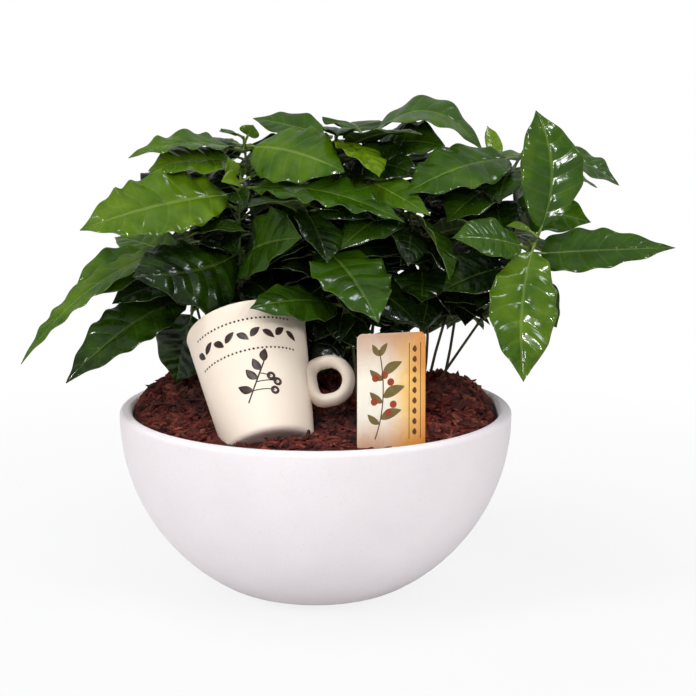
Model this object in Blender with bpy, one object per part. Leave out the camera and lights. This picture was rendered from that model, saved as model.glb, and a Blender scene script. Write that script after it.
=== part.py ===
"""Potted coffee plant: a round bowl of soil and bark chips with a dozen coffee seedlings,
a tilted mug and a plant label.

+Z is up and the front faces -Y. The origin is the centre of the bowl's flat foot.
Sizes are in metres, written as millimetres times MM.
"""

import math

import bmesh
import bpy
from mathutils import Matrix, Vector
from mathutils.bvhtree import BVHTree

MM = 0.001
GAP = 0.3 * MM  # left between pieces that touch

# The bowl: a hemisphere that rounds into a flat foot.
BOWL_RADIUS = 140 * MM
BOWL_SPHERE_HEIGHT = 130 * MM  # centre of the sphere above the foot
BOWL_WALL = 9 * MM
FOOT_RADIUS = 36 * MM  # of the flat part
RIM_HEIGHT = 134 * MM
BOWL_SIDES = 48

# What fills it.
SOIL_TOP = 102 * MM
BARK_WALL_HEIGHT = 127 * MM  # height of the bark where it meets the wall
BARK_CROWN = 9 * MM
BARK_HUMPS = (  # x and y of its middle, its height and its spread, in millimetres
    (98, 46, 16, 38), (-100, 44, 17, 44), (0, 92, 9, 55), (2, -122, 7, 24), (124, -20, -5, 26),
)
FILL_SIDES = 36
ROOT_DEPTH = 14 * MM  # how far a stem reaches below the top of the soil

# The mug.
MUG_HEIGHT = 94 * MM
MUG_MOUTH_RADIUS = 42 * MM
MUG_FOOT_RADIUS = 30.5 * MM
MUG_FOOT_EDGE = 4 * MM  # rounding between the wall and the foot
MUG_WALL = 4 * MM
MUG_FOOT_CENTRE = Vector((-31, -84, 123)) * MM
MUG_LEAN_BACK = math.radians(38.4)
MUG_LEAN_LEFT = math.radians(14.2)
HANDLE_HEIGHT = 39.5 * MM  # middle of the handle above the foot
HANDLE_OFFSET = 13.9 * MM  # middle of the handle's ring from the mug's wall
HANDLE_RING = (13 * MM, 14.6 * MM)  # half width and half height of the ring's middle line
HANDLE_THICKNESS = 8.8 * MM
HANDLE_DEPTH = 11.2 * MM
MUG_SIDES = 36

# The label.
LABEL_WIDTH = 49 * MM
LABEL_HEIGHT = 79 * MM
LABEL_THICKNESS = 0.9 * MM
LABEL_CORNER = 4 * MM
LABEL_STAKE = (16 * MM, 38 * MM)  # width and length of the point below the card
LABEL_PLACE = Vector((50.5, -103.5, 127)) * MM  # middle of the card's lower edge
LABEL_LEAN_BACK = math.radians(4)
LABEL_LEAN_RIGHT = math.radians(1.3)
LABEL_FACING = math.radians(20)  # how far its face turns to the right of straight ahead

# The seedlings: where each stem leaves the bark, a point halfway up, and its tip, in millimetres.
STEM_FOOT_RADIUS = 1.6 * MM
STEM_TIP_RADIUS = 1.0 * MM
STEM_SIDES = 6
STEMS = {
    "a": ((-43, 24, 138), (-53, 18, 215), (-54, 20, 292)),
    "b": ((-28, 46, 140), (-42, 46, 230), (-52, 42, 322)),
    "c": ((-64, 22, 137), (-84, 8, 200), (-92, -2, 262)),
    "d": ((10, 42, 141), (16, 40, 230), (14, 46, 326)),
    "e": ((28, -6, 140), (20, -16, 208), (-14, -2, 284)),
    "f": ((88, 35, 142), (120, 12, 197), (156, -15, 258)),
    "g": ((83, 44, 142), (99, 36, 205), (152, 38, 318)),
    "h": ((79, 37, 143), (80, 24, 205), (62, 12, 284)),
    "i": ((36, 72, 142), (46, 66, 230), (34, 58, 324)),
    "j": ((-48, 82, 140), (-72, 96, 210), (-88, 104, 300)),
    "k": ((96, 64, 141), (108, 92, 215), (104, 118, 306)),
    "l": ((4, 104, 140), (4, 126, 215), (6, 138, 300)),
}

# The leaves, in millimetres: the seedling, the height at which the leaf joins its stem, where
# its tip is, the way its upper side faces, the blade's width, and its bows: how far the midrib
# rises over its chord, how far the margins rise over the midrib and how far the midrib swings
# sideways, as shares of the length, the half width and the length. Each leaf gives way to
# those above it in the list.
LEAVES = (
    ("e", 250, (42, -84, 210), (0.2, -0.6, 0.8), 54, (0.08, 0.1, 0)),
    ("e", 210, (-44, -84, 220), (0, -0.65, 0.8), 40, (0.07, -0.1, 0)),
    ("f", 254, (141, -76, 168), (0.1, -0.9, 0.35), 48, (0.06, 0.12, 0.06)),
    ("f", 257, (153, -6, 346), (0.1, -0.9, 0.15), 45, (0.07, 0.12, 0.11)),
    ("f", 250, (94, -42, 262), (0, -0.7, 0.7), 36, (0.07, 0.1, 0)),
    ("f", 246, (247, -42, 255), (0, -0.7, 0.7), 38, (0.01, 0.1, 0)),
    ("a", 284, (-162, -37, 266), (-0.1, -0.8, 0.65), 54, (0.07, 0.06, 0)),
    ("a", 242, (-123, -57, 236), (0, -0.8, 0.55), 64, (0.04, -0.2, -0.08)),
    ("a", 238, (-10, -52, 263), (0, -0.85, 0.5), 54, (0.09, 0.1, 0)),
    ("c", 214, (-171, -62, 164), (-0.2, -0.7, 0.7), 43, (0.1, 0.1, 0)),
    ("c", 251, (-205, -36, 172), (-0.4, -0.4, 0.75), 28, (0.11, 0.12, 0)),
    ("a", 288, (61, -30, 271), (0.1, -0.35, 0.9), 42, (0.09, 0.1, 0)),
    ("c", 243, (-170, -30, 223), (-0.1, -0.7, 0.75), 37, (0.02, 0.05, 0.08)),
    ("b", 316, (20, -6, 303), (0, -0.75, 0.75), 56, (0.09, -0.1, 0)),
    ("c", 206, (-101, -26, 157), (-0.3, -0.95, 0.2), 42, (0.05, 0.15, 0)),
    ("e", 279, (8, -38, 243), (0.5, -0.7, 0.3), 36, (0.06, 0.2, 0)),
    ("h", 272, (92, -42, 233), (0.75, -0.25, 0.55), 32, (0.08, 0.3, 0)),
    ("g", 308, (62, -12, 288), (-0.2, -0.6, 0.75), 50, (0.09, 0.05, 0)),
    ("d", 320, (44, -18, 297), (0.5, -0.7, 0.5), 36, (0.06, 0.1, 0)),
    ("d", 300, (79, -30, 276), (-0.3, -0.4, 0.8), 28, (0.04, 0.2, 0)),
    ("b", 313, (-132, 8, 311), (0, -0.22, 0.97), 36, (0.1, 0.15, 0)),
    ("c", 226, (-142, -40, 216), (0, -0.45, 0.9), 34, (0.08, 0.1, 0)),
    ("c", 238, (-146, 24, 254), (0, -0.5, 0.85), 36, (0.06, 0.1, 0)),
    ("f", 236, (88, -54, 228), (-0.1, -0.6, 0.75), 42, (0.09, 0.1, 0)),
    ("h", 232, (74, -26, 214), (0, -0.6, 0.7), 42, (0.09, 0.1, 0)),
    ("i", 321, (121, 46, 312), (0, -0.3, 0.97), 47, (0.31, 0.1, 0)),
    ("g", 290, (92, -8, 268), (-0.1, -0.4, 0.9), 42, (0.09, 0.1, 0)),
    ("g", 314, (216, 18, 291), (0.3, -0.4, 0.85), 34, (0.1, 0.1, 0)),
    ("f", 228, (170, -14, 194), (0.4, -0.8, 0.2), 34, (0.08, 0.1, 0)),
    ("g", 266, (196, 14, 265), (0.2, -0.6, 0.75), 44, (0.1, 0.1, 0)),
    ("d", 322, (-46, 66, 334), (-0.1, -0.4, 0.9), 35, (0.03, 0.1, 0)),
    ("b", 302, (-118, 6, 302), (-0.2, -0.5, 0.85), 46, (0.1, 0.1, 0)),
    ("i", 322, (20, 124, 322), (0.1, -0.3, 1), 46, (0.1, 0.1, 0)),
    ("j", 296, (-122, 44, 280), (-0.3, -0.2, 0.9), 44, (0.1, 0.1, 0)),
    ("j", 292, (-92, 186, 262), (-0.1, 0.5, 0.8), 44, (0.1, 0.1, 0)),
    ("j", 240, (-152, 142, 208), (-0.4, 0.4, 0.7), 42, (0.1, 0.1, 0)),
    ("k", 300, (211, 96, 280), (0.3, -0.1, 0.9), 44, (0.1, 0.1, 0)),
    ("k", 296, (118, 198, 268), (0.1, 0.5, 0.8), 44, (0.1, 0.1, 0)),
    ("k", 250, (190, 150, 214), (0.4, 0.4, 0.7), 42, (0.1, 0.1, 0)),
    ("l", 296, (-36, 206, 280), (-0.2, 0.5, 0.8), 44, (0.1, 0.1, 0)),
    ("l", 290, (62, 196, 244), (0.3, 0.6, 0.6), 44, (0.1, 0.1, 0)),
    ("l", 246, (-20, 212, 196), (0, 0.8, 0.5), 42, (0.1, 0.1, 0)),
    ("k", 256, (60, 176, 200), (-0.2, 0.8, 0.4), 40, (0.1, 0.1, 0)),
)
TAPER = 0.82  # below 1 a blade is widest nearer its base than its tip
TAPERS = {
    "f4": 0.53, "b2": 0.62, "a1": 0.88, "f1": 0.92, "a2": 0.95, "e1": 0.78, "f2": 0.98, "c1": 0.76,
    "c2": 0.7, "c3": 1.2, "i1": 0.8, "f3": 0.92, "g3": 1.15, "g4": 1.1, "k1": 1.3,
}

PETIOLE = 7 * MM
PETIOLE_HALF = 1.0 * MM
LEAF_THICKNESS = 1.4 * MM
LEAF_STATIONS = (0.0, 0.05, 0.14, 0.27, 0.42, 0.56, 0.7, 0.82, 0.92, 1.0)
DRIP_TIP = 0.4 * MM
CLEAR_SPACE = 2.2 * MM  # kept free on each side of a blade, for its wavy margin
FRONT_TO_BACK = Vector((0, 1, -0.23))  # a leaf gives way mostly along this line


def clear_scene():
    for thing in list(bpy.data.objects):
        bpy.data.objects.remove(thing)


def painted(name, colour, roughness):
    material = bpy.data.materials.new(name)
    material.use_nodes = True
    shader = material.node_tree.nodes["Principled BSDF"]
    shader.inputs["Base Color"].default_value = (*colour, 1)
    shader.inputs["Roughness"].default_value = roughness
    shader.inputs["Metallic"].default_value = 0
    return material


def add_object(name, mesh_maker, material):
    """An object from a bmesh, with its faces turned outwards."""
    mesh = bpy.data.meshes.new(name)
    bmesh.ops.recalc_face_normals(mesh_maker, faces=mesh_maker.faces)
    mesh_maker.to_mesh(mesh)
    mesh_maker.free()
    mesh.materials.append(material)
    made = bpy.data.objects.new(name, mesh)
    bpy.context.scene.collection.objects.link(made)
    return made


def smooth(made, angle=math.radians(35)):
    made.data.shade_smooth()
    made.data.set_sharp_from_angle(angle=angle)


def turned(profile, sides):
    """A bmesh spun round Z from (radius, height) points that start and end on the axis."""
    maker = bmesh.new()
    points = [maker.verts.new((radius, 0, height)) for radius, height in profile]
    edges = [maker.edges.new(pair) for pair in zip(points, points[1:])]
    bmesh.ops.spin(
        maker, geom=points + edges, cent=(0, 0, 0), axis=(0, 0, 1),
        angle=math.tau, steps=sides, use_merge=True,
    )
    bmesh.ops.remove_doubles(maker, verts=maker.verts, dist=0.01 * MM)
    return maker


def skinned(rings, closed=False):
    """A closed bmesh through rings of points, with a cap at each end or joined end to end."""
    maker = bmesh.new()
    loops = [[maker.verts.new(point) for point in ring] for ring in rings]
    count = len(rings[0])
    if closed:
        loops.append(loops[0])
    for low, high in zip(loops, loops[1:]):
        for k in range(count):
            nxt = (k + 1) % count
            maker.faces.new((low[k], low[nxt], high[nxt], high[k]))
    if not closed:
        maker.faces.new(loops[0])
        maker.faces.new(loops[-1])
    return maker


def boolean(made, other, operation):
    """Joins other to made or cuts it from made, and applies the result."""
    modifier = made.modifiers.new(operation.lower(), "BOOLEAN")
    modifier.operation = operation
    modifier.object = other
    modifier.solver = "EXACT"
    bpy.context.view_layer.update()
    graph = bpy.context.evaluated_depsgraph_get()
    result = bpy.data.meshes.new_from_object(made.evaluated_get(graph))
    made.modifiers.remove(modifier)
    made.data = result
    bpy.data.objects.remove(other)


def sphere_radius(height, shell=0.0):
    """Radius of the bowl's outside, or of its inside when shell is the wall, at a height."""
    reach = BOWL_RADIUS - shell
    off = min(abs(height - BOWL_SPHERE_HEIGHT), reach)
    return math.sqrt(reach**2 - off**2) if height < BOWL_SPHERE_HEIGHT else reach


def make_bowl():
    floor = BOWL_WALL + 1 * MM
    lip = 3 * MM
    drop = BOWL_RADIUS - BOWL_SPHERE_HEIGHT
    curve = (BOWL_RADIUS**2 - BOWL_SPHERE_HEIGHT**2 - FOOT_RADIUS**2) / (2 * drop)
    sweep = math.atan2(FOOT_RADIUS, BOWL_SPHERE_HEIGHT - curve)
    outside = [(0, 0)] + [
        (FOOT_RADIUS + curve * math.sin(sweep * k / 5), curve * (1 - math.cos(sweep * k / 5)))
        for k in range(6)
    ]
    foot_top = outside[-1][1]
    outside += [
        (sphere_radius(height), height)
        for height in (
            foot_top + share * (BOWL_SPHERE_HEIGHT - foot_top)
            for share in (0.1, 0.25, 0.42, 0.61, 0.8, 1)
        )
    ]
    rim = [
        (BOWL_RADIUS - 0.7 * MM, RIM_HEIGHT - lip * 0.3),
        (BOWL_RADIUS - lip, RIM_HEIGHT),
        (BOWL_RADIUS - BOWL_WALL + lip * 0.7, RIM_HEIGHT),
        (BOWL_RADIUS - BOWL_WALL, RIM_HEIGHT - lip),
    ]
    rise = BOWL_SPHERE_HEIGHT - floor
    inside = [
        (sphere_radius(floor + share * rise, BOWL_WALL), floor + share * rise)
        for share in (0.8, 0.55, 0.34, 0.17, 0.05, 0)
    ]
    maker = turned(outside + rim + inside + [(0, floor)], BOWL_SIDES)
    bowl = add_object("bowl", maker, painted("bowl_clay", (0.83, 0.79, 0.78), 0.6))
    smooth(bowl)
    return bowl


def bark_height(x, y):
    """Top of the bark: crowned in the middle, with a few soft humps and one hollow."""
    reach = BOWL_RADIUS - BOWL_WALL
    height = BARK_WALL_HEIGHT + BARK_CROWN * (1 - (x * x + y * y) / reach**2)
    for hump_x, hump_y, rise, spread in BARK_HUMPS:
        off = math.hypot(x - hump_x * MM, y - hump_y * MM) / (spread * MM)
        height += rise * MM * math.exp(-off * off)
    return height


def make_soil():
    floor = BOWL_WALL + 1 * MM + GAP
    rise = SOIL_TOP - floor
    shell = BOWL_WALL + 2 * GAP
    side = [
        (sphere_radius(floor + share * rise, shell) - 1 * MM, floor + share * rise)
        for share in (0, 0.1, 0.25, 0.45, 0.7, 1)
    ]
    maker = turned([(0, floor)] + side + [(0, SOIL_TOP)], FILL_SIDES)
    return add_object("soil", maker, painted("soil_peat", (0.05, 0.03, 0.02), 0.95))


def make_bark():
    bottom = SOIL_TOP + GAP
    reach = BOWL_RADIUS - BOWL_WALL - 1.2 * MM
    side = [(sphere_radius(bottom, BOWL_WALL) - 1.6 * MM, bottom), (reach, BARK_WALL_HEIGHT)]
    top = [(reach * share, BARK_WALL_HEIGHT) for share in (0.82, 0.62, 0.4, 0.18)]
    maker = turned([(0, bottom)] + side + top + [(0, BARK_WALL_HEIGHT)], FILL_SIDES)
    for vert in maker.verts:
        if vert.co.z > bottom + 1 * MM:
            vert.co.z = bark_height(vert.co.x, vert.co.y)
    return add_object("bark_mulch", maker, painted("bark", (0.1, 0.03, 0.02), 0.9))


def mug_matrix():
    lean = Matrix.Rotation(-MUG_LEAN_LEFT, 4, "Y") @ Matrix.Rotation(-MUG_LEAN_BACK, 4, "X")
    return Matrix.Translation(MUG_FOOT_CENTRE) @ lean


def mug_radius(height):
    """Outer radius: a cone with slightly rounded sides."""
    share = max(0.0, height / MUG_HEIGHT)
    return MUG_FOOT_RADIUS + (MUG_MOUTH_RADIUS - MUG_FOOT_RADIUS) * share**0.9


def mug_outside(grow=0.0):
    edge = MUG_FOOT_EDGE
    foot = [
        (0, -grow), (MUG_FOOT_RADIUS - edge, -grow),
        (MUG_FOOT_RADIUS - edge * 0.3 + grow, edge * 0.3), (mug_radius(edge) + grow, edge),
    ]
    heights = [share * MUG_HEIGHT for share in (0.2, 0.36, 0.52, 0.68, 0.84, 0.98)]
    wall = [(mug_radius(h) + grow, h) for h in heights]
    lip = [(MUG_MOUTH_RADIUS - MUG_WALL / 2, MUG_HEIGHT + grow), (0, MUG_HEIGHT + grow)]
    return turned(foot + wall + lip, MUG_SIDES)


def mug_cavity():
    heights = [share * MUG_HEIGHT for share in (0.16, 0.34, 0.52, 0.7, 0.86)]
    wall = [(mug_radius(h) - MUG_WALL, h) for h in heights]
    floor = [(0, 6 * MM), (MUG_FOOT_RADIUS - 9 * MM, 6 * MM)]
    mouth = [(MUG_MOUTH_RADIUS - MUG_WALL, MUG_HEIGHT * 1.02), (0, MUG_HEIGHT * 1.02)]
    return turned(floor + wall + mouth, MUG_SIDES)


def handle_loop(grow=0.0):
    """The handle: a thick oval ring on the mug's right, whose near side is inside the wall."""
    rings = []
    wide, high = HANDLE_RING
    centre_x = mug_radius(HANDLE_HEIGHT) + HANDLE_OFFSET
    for turn in (math.tau * step / 24 for step in range(24)):
        centre = Vector((centre_x + wide * math.cos(turn), 0, HANDLE_HEIGHT + high * math.sin(turn)))
        out = Vector((math.cos(turn) / wide, 0, math.sin(turn) / high)).normalized()
        side = Vector((0, 1, 0))
        rings.append([
            centre
            + out * math.cos(a) * (HANDLE_THICKNESS / 2 + grow)
            + side * math.sin(a) * (HANDLE_DEPTH / 2 + grow)
            for a in (math.tau * k / 10 for k in range(10))
        ])
    return skinned(rings, closed=True)


def make_mug():
    glaze = painted("mug_glaze", (0.88, 0.78, 0.66), 0.25)
    mug = add_object("mug", mug_outside(), glaze)
    boolean(mug, add_object("handle", handle_loop(), glaze), "UNION")
    boolean(mug, add_object("cavity", mug_cavity(), glaze), "DIFFERENCE")
    mug.data.transform(mug_matrix())
    smooth(mug)
    return mug


def label_outline(grow=0.0):
    """Half of the card's outline, from the point of its stake to the middle of its top."""
    half = LABEL_WIDTH / 2 + grow
    stake_half, stake_length = LABEL_STAKE[0] / 2 + grow, LABEL_STAKE[1] + grow
    top = LABEL_HEIGHT + grow
    corner = LABEL_CORNER
    return (
        (0, -stake_length), (stake_half, -stake_length * 0.62), (stake_half, -grow),
        (half - corner, -grow), (half - corner * 0.3, corner * 0.3 - grow), (half, corner - grow),
        (half, top - corner), (half - corner * 0.3, top - corner * 0.3), (half - corner, top),
    )


def label_card(grow=0.0):
    right = label_outline(grow)
    left = [(-x, z) for x, z in reversed(right) if x > 0]
    depth = LABEL_THICKNESS / 2 + grow
    front = [Vector((x, -depth, z)) for x, z in (*right, *left)]
    back = [Vector((p.x, depth, p.z)) for p in front]
    maker = skinned([front, back])
    turn = Matrix.Rotation(LABEL_FACING, 4, "Z")
    lean = Matrix.Rotation(-LABEL_LEAN_BACK, 4, "X") @ Matrix.Rotation(LABEL_LEAN_RIGHT, 4, "Y")
    place = Matrix.Translation(LABEL_PLACE) @ turn @ lean
    bmesh.ops.transform(maker, matrix=place, verts=maker.verts)
    return maker


def make_label():
    return add_object("plant_label", label_card(), painted("label_card", (0.85, 0.55, 0.25), 0.3))


def stem_points(name):
    """The stem's centreline as a function of height, from its three given points."""
    foot, middle, tip = (Vector(p) * MM for p in STEMS[name])

    def at(height):
        first = (height - middle.z) * (height - tip.z) / (foot.z - middle.z) / (foot.z - tip.z)
        second = (height - foot.z) * (height - tip.z) / (middle.z - foot.z) / (middle.z - tip.z)
        third = 1 - first - second
        point = foot * first + middle * second + tip * third
        if height < foot.z:
            point = foot.copy()
        return Vector((point.x, point.y, height))

    return at, foot.z, tip.z


def stem_radius(name, height):
    _, foot, tip = stem_points(name)
    share = min(1.0, max(0.0, (height - foot) / (tip - foot)))
    return STEM_FOOT_RADIUS + (STEM_TIP_RADIUS - STEM_FOOT_RADIUS) * share


def stem_rod(name, grow=0.0):
    """A tapering rod of level rings, rooted in the soil."""
    at, foot, tip = stem_points(name)
    root = SOIL_TOP - ROOT_DEPTH
    heights = [root - grow, foot] + [foot + (tip - foot) * k / 8 for k in range(1, 9)]
    rings = []
    for height in heights:
        radius = stem_radius(name, height) + grow
        rings.append([
            at(height) + Vector((math.cos(a), math.sin(a), 0)) * radius
            for a in (math.tau * k / STEM_SIDES for k in range(STEM_SIDES))
        ])
    return skinned(rings)


def outline(share, taper):
    """Half width of a blade, as a share of its greatest: an ellipse that narrows to a drip tip."""
    if not 0 < share < 1:
        return 0.0
    step = min(1.0, max(0.0, (share - 0.82) / 0.14))
    drip = 1 - 0.2 * step * step * (3 - 2 * step)
    return drip * math.sin(math.pi * share**taper) ** (0.64 + 0.26 * share)


def leaf_rings(base, tip, face, width, bows, taper, thickness, spread=0.0):
    """Four-cornered rings along a leaf: left margin, upper side, right margin, underside."""
    arch, fold, bend = bows
    chord = tip - base
    length = chord.length
    along = chord.normalized()
    up = (face - along * face.dot(along)).normalized()
    across = along.cross(up)
    petiole = PETIOLE / length
    rings = []
    places = [0.0, *(petiole + (1 - petiole) * share for share in LEAF_STATIONS)]
    for place in places:
        share = (place - petiole) / (1 - petiole)
        half = PETIOLE_HALF + spread
        if share > 0:
            half = max(width / 2 * outline(share, taper), DRIP_TIP) + spread
        bow = length * 4 * place * (1 - place)
        normal = (up - along * arch * 4 * (1 - 2 * place)).normalized()
        middle = base + along * (place * length) + up * (arch * bow) + across * (bend * bow)
        thick = thickness if 0 < share < 0.9 else max(thickness * 0.6, 2 * DRIP_TIP)
        if share <= 0:
            thick = 2 * PETIOLE_HALF
        lift = normal * (fold * half if share > 0 else 0)
        rings.append([
            middle + lift - across * half,
            middle + normal * thick / 2,
            middle + lift + across * half,
            middle - normal * thick / 2,
        ])
    return rings


def tree_of(maker):
    """A search tree of a bmesh, which is freed."""
    tree = BVHTree.FromBMesh(maker)
    maker.free()
    return tree


def give_way_steps():
    """Shifts of a leaf's tip to try in turn, the smallest first."""
    steps = [
        (Vector((0, 0, lift * 4 * MM)) + FRONT_TO_BACK * (slide * 5 * MM), abs(lift) * 1.6 + abs(slide))
        for slide in range(-14, 15)
        for lift in range(-5, 6)
    ]
    return [shift for shift, _ in sorted(steps, key=lambda step: step[1])]


def settle_leaf(row, taper, placed, stem_trees, fixed):
    """Rings of a leaf that is clear of the stems, the leaves placed before it and the rest."""
    name, height, tip, face, width, bows = row
    at, _, _ = stem_points(name)
    joint = at(height * MM)
    out = Vector(tip) * MM - joint
    out.z = 0
    stand_off = stem_radius(name, height * MM) + PETIOLE_HALF + 2 * GAP
    base = joint + out.normalized() * stand_off
    for shift in give_way_steps():
        end = Vector(tip) * MM + shift
        shape = (base, end, Vector(face), width * MM, bows, taper)
        guard = leaf_rings(*shape, 2 * CLEAR_SPACE, 1 * MM)[2:]
        guard_tree = tree_of(skinned(guard))
        solid_tree = tree_of(skinned(leaf_rings(*shape, LEAF_THICKNESS)))
        blocked = any(
            guard_tree.overlap(other_guard) or solid_tree.overlap(other_solid)
            for other_guard, other_solid in placed
        )
        blocked = blocked or any(
            (solid_tree if stem == name else guard_tree).overlap(tree)
            or solid_tree.overlap(tree)
            for stem, tree in stem_trees.items()
        )
        if not blocked and not any(guard_tree.overlap(tree) for tree in fixed):
            placed.append((guard_tree, solid_tree))
            return leaf_rings(*shape, LEAF_THICKNESS)
    raise RuntimeError(f"no room for a leaf of seedling {name} at {height}")


def make_plant(fixed):
    bark_brown = painted("stem_bark", (0.16, 0.13, 0.06), 0.7)
    green = painted("leaf_green", (0.07, 0.16, 0.02), 0.3)
    stem_trees = {name: tree_of(stem_rod(name, 0.3 * MM)) for name in STEMS}
    for name in STEMS:
        smooth(add_object(f"stem_{name}", stem_rod(name), bark_brown))
    placed = []
    counts = {}
    for row in LEAVES:
        counts[row[0]] = counts.get(row[0], 0) + 1
        name = f"{row[0]}{counts[row[0]]}"
        rings = settle_leaf(row, TAPERS.get(name, TAPER), placed, stem_trees, fixed)
        smooth(add_object(f"leaf_{name}", skinned(rings), green))


def main():
    clear_scene()
    bowl = make_bowl()
    mug = make_mug()
    label = make_label()
    soil = make_soil()
    bark = make_bark()
    fixed = []
    for made in (bowl, mug, label, bark):
        maker = bmesh.new()
        maker.from_mesh(made.data)
        fixed.append(tree_of(maker))
    for name in STEMS:
        for bed in (soil, bark):
            boolean(bed, add_object("stem_hole", stem_rod(name, GAP), bed.data.materials[0]), "DIFFERENCE")
    for bed in (soil, bark):
        boolean(bed, add_object("label_slot", label_card(GAP), bed.data.materials[0]), "DIFFERENCE")
    bed = mug_outside(GAP)
    bmesh.ops.transform(bed, matrix=mug_matrix(), verts=bed.verts)
    boolean(bark, add_object("mug_bed", bed, bark.data.materials[0]), "DIFFERENCE")
    loop = handle_loop(GAP)
    bmesh.ops.transform(loop, matrix=mug_matrix(), verts=loop.verts)
    boolean(bark, add_object("handle_bed", loop, bark.data.materials[0]), "DIFFERENCE")
    make_plant(fixed)


main()
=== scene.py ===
"""Potted coffee plant: the finish of the bowl, the bark, the mug, the label and the seedlings."""

import math
import random
from itertools import combinations

import bmesh
import bpy
from mathutils import Matrix, Vector, noise
from mathutils.bvhtree import BVHTree


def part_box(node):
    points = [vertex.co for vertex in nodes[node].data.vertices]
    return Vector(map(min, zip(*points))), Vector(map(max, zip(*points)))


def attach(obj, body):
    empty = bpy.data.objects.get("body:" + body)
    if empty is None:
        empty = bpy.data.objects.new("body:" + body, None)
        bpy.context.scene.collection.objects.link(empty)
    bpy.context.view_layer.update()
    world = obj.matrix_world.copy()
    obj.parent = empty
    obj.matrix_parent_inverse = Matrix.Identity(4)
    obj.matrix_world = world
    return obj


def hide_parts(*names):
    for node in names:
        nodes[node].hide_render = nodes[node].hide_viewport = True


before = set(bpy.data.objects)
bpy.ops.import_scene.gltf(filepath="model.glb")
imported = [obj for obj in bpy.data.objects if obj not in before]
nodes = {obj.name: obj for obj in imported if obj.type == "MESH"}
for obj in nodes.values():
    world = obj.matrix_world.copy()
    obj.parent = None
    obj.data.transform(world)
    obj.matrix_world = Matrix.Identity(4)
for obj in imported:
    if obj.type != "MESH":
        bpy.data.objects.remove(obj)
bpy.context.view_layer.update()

# ------------------------------------------------------------------------------------------
# Studio: a white sweep under soft boxes in front, at both sides, behind and above, with small
# bare lamps for the highlights. The sweep is white to the camera and still takes a shadow.
MM = 0.001
WHITE = (1, 1, 1, 1)
MOUTH_CENTRE = Vector((0, 0, 133)) * MM
CAMERA_DISTANCE = 1.5
CAMERA_RISE = math.radians(12.8)
CAMERA_LENS = 108.1
VIEW_TURN_RIGHT = math.radians(0.88)
VIEW_TURN_UP = math.radians(1.62)
AMBIENT_STRENGTH = 0.38
SHINE_SHARE = 0.1  # of the white that reflections see, as the studio stands dark around the sweep
SWEEP_SIZE = 60.0
SWEEP_GLOW = 0.84  # share of the sweep's brightness near the bowl that no shadow dims
SWEEP_SHADED = (0.2, 0.75)  # distances from the bowl between which the shadow fades out
SWEEP_PAPER = (0.76, 0.76, 0.76, 1)
PLANT_HEART = Vector((0, 0, 200)) * MM
FILL = "fill"  # starts the names of lamps so soft that they leave no highlight
GLINT = "glint"  # and of small bare lamps, which only show as highlights
LAMPS = (  # name, place, size, watts and colour
    ("fill_front", Vector((0.4, -1.7, 1.05)), 0.3, 3.3, (1.0, 0.99, 0.98)),
    ("fill_left", Vector((-1.4, -0.95, 0.9)), 0.4, 11.5, (1.0, 0.99, 0.975)),
    ("fill_right", Vector((1.1, -1.3, 0.95)), 0.4, 9, (1.0, 0.99, 0.975)),
    ("fill_back", Vector((-0.4, 1.6, 1.0)), 0.4, 4, (0.96, 0.98, 1.0)),
    ("fill_top", Vector((-0.15, -0.25, 1.6)), 0.7, 8, (0.92, 0.97, 1.0)),
    ("glint_top", Vector((-0.15, -0.25, 1.6)), 0.25, 2.5, (0.92, 0.97, 1.0)),
    ("glint_right", Vector((0.92, 0.05, 1.42)), 0.3, 5, (0.9, 0.96, 1.0)),
    ("glint_high", Vector((-0.25, -1.5, 1.25)), 0.12, 24, (1.0, 1.0, 1.0)),
    ("glint_low", Vector((-0.15, -1.7, 0.7)), 0.1, 14, (1.0, 1.0, 1.0)),
)

scene = bpy.context.scene
scene.view_settings.view_transform = "Standard"


def add_node(material, kind, inputs=None, **settings):
    """Adds a shader node: an input given as a socket is linked, and any other value is set."""
    tree = material.node_tree
    made = tree.nodes.new("ShaderNode" + kind)
    for name, value in settings.items():
        setattr(made, name, value)
    for name, value in (inputs or {}).items():
        if isinstance(value, bpy.types.NodeSocket):
            tree.links.new(value, made.inputs[name])
        else:
            made.inputs[name].default_value = value
    return made


def sums(material, operation, first, second):
    """The result of one operation on two values."""
    return add_node(material, "Math", {0: first, 1: second}, operation=operation).outputs[0]


def ramp(material, factor, low, high, start=0.0, end=1.0):
    """A factor spread between two numbers as it runs from start to end."""
    return add_node(
        material, "MapRange",
        {"Value": factor, "From Min": start, "From Max": end, "To Min": low, "To Max": high},
    ).outputs[0]


def new_finish(name, **constants):
    """A material and its shader, with the shader's constant sockets set."""
    material = bpy.data.materials.new(name)
    material.use_nodes = True
    shader = material.node_tree.nodes["Principled BSDF"]
    for socket, value in constants.items():
        shader.inputs[socket.replace("_", " ").title().replace("Ior", "IOR")].default_value = value
    return material, shader


def seen_directly(material):
    """1 for rays from the camera or a refraction, less for a reflection, 0 for light that spreads."""
    path = add_node(material, "LightPath").outputs
    shine = sums(material, "MULTIPLY", path["Is Glossy Ray"], SHINE_SHARE)
    through = sums(material, "MAXIMUM", shine, path["Is Transmission Ray"])
    return sums(material, "MAXIMUM", path["Is Camera Ray"], through)


def mesh_from(name, maker):
    """A mesh from a bmesh, which is freed."""
    mesh = bpy.data.meshes.new(name)
    maker.to_mesh(mesh)
    maker.free()
    return mesh


def set_down(name, data):
    """A new object in the scene."""
    made = bpy.data.objects.new(name, data)
    scene.collection.objects.link(made)
    return made


def aimed(place, target):
    """The matrix of a camera or a lamp at a place that faces a target."""
    return Matrix.Translation(place) @ (target - place).to_track_quat("-Z", "Y").to_matrix().to_4x4()


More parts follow.
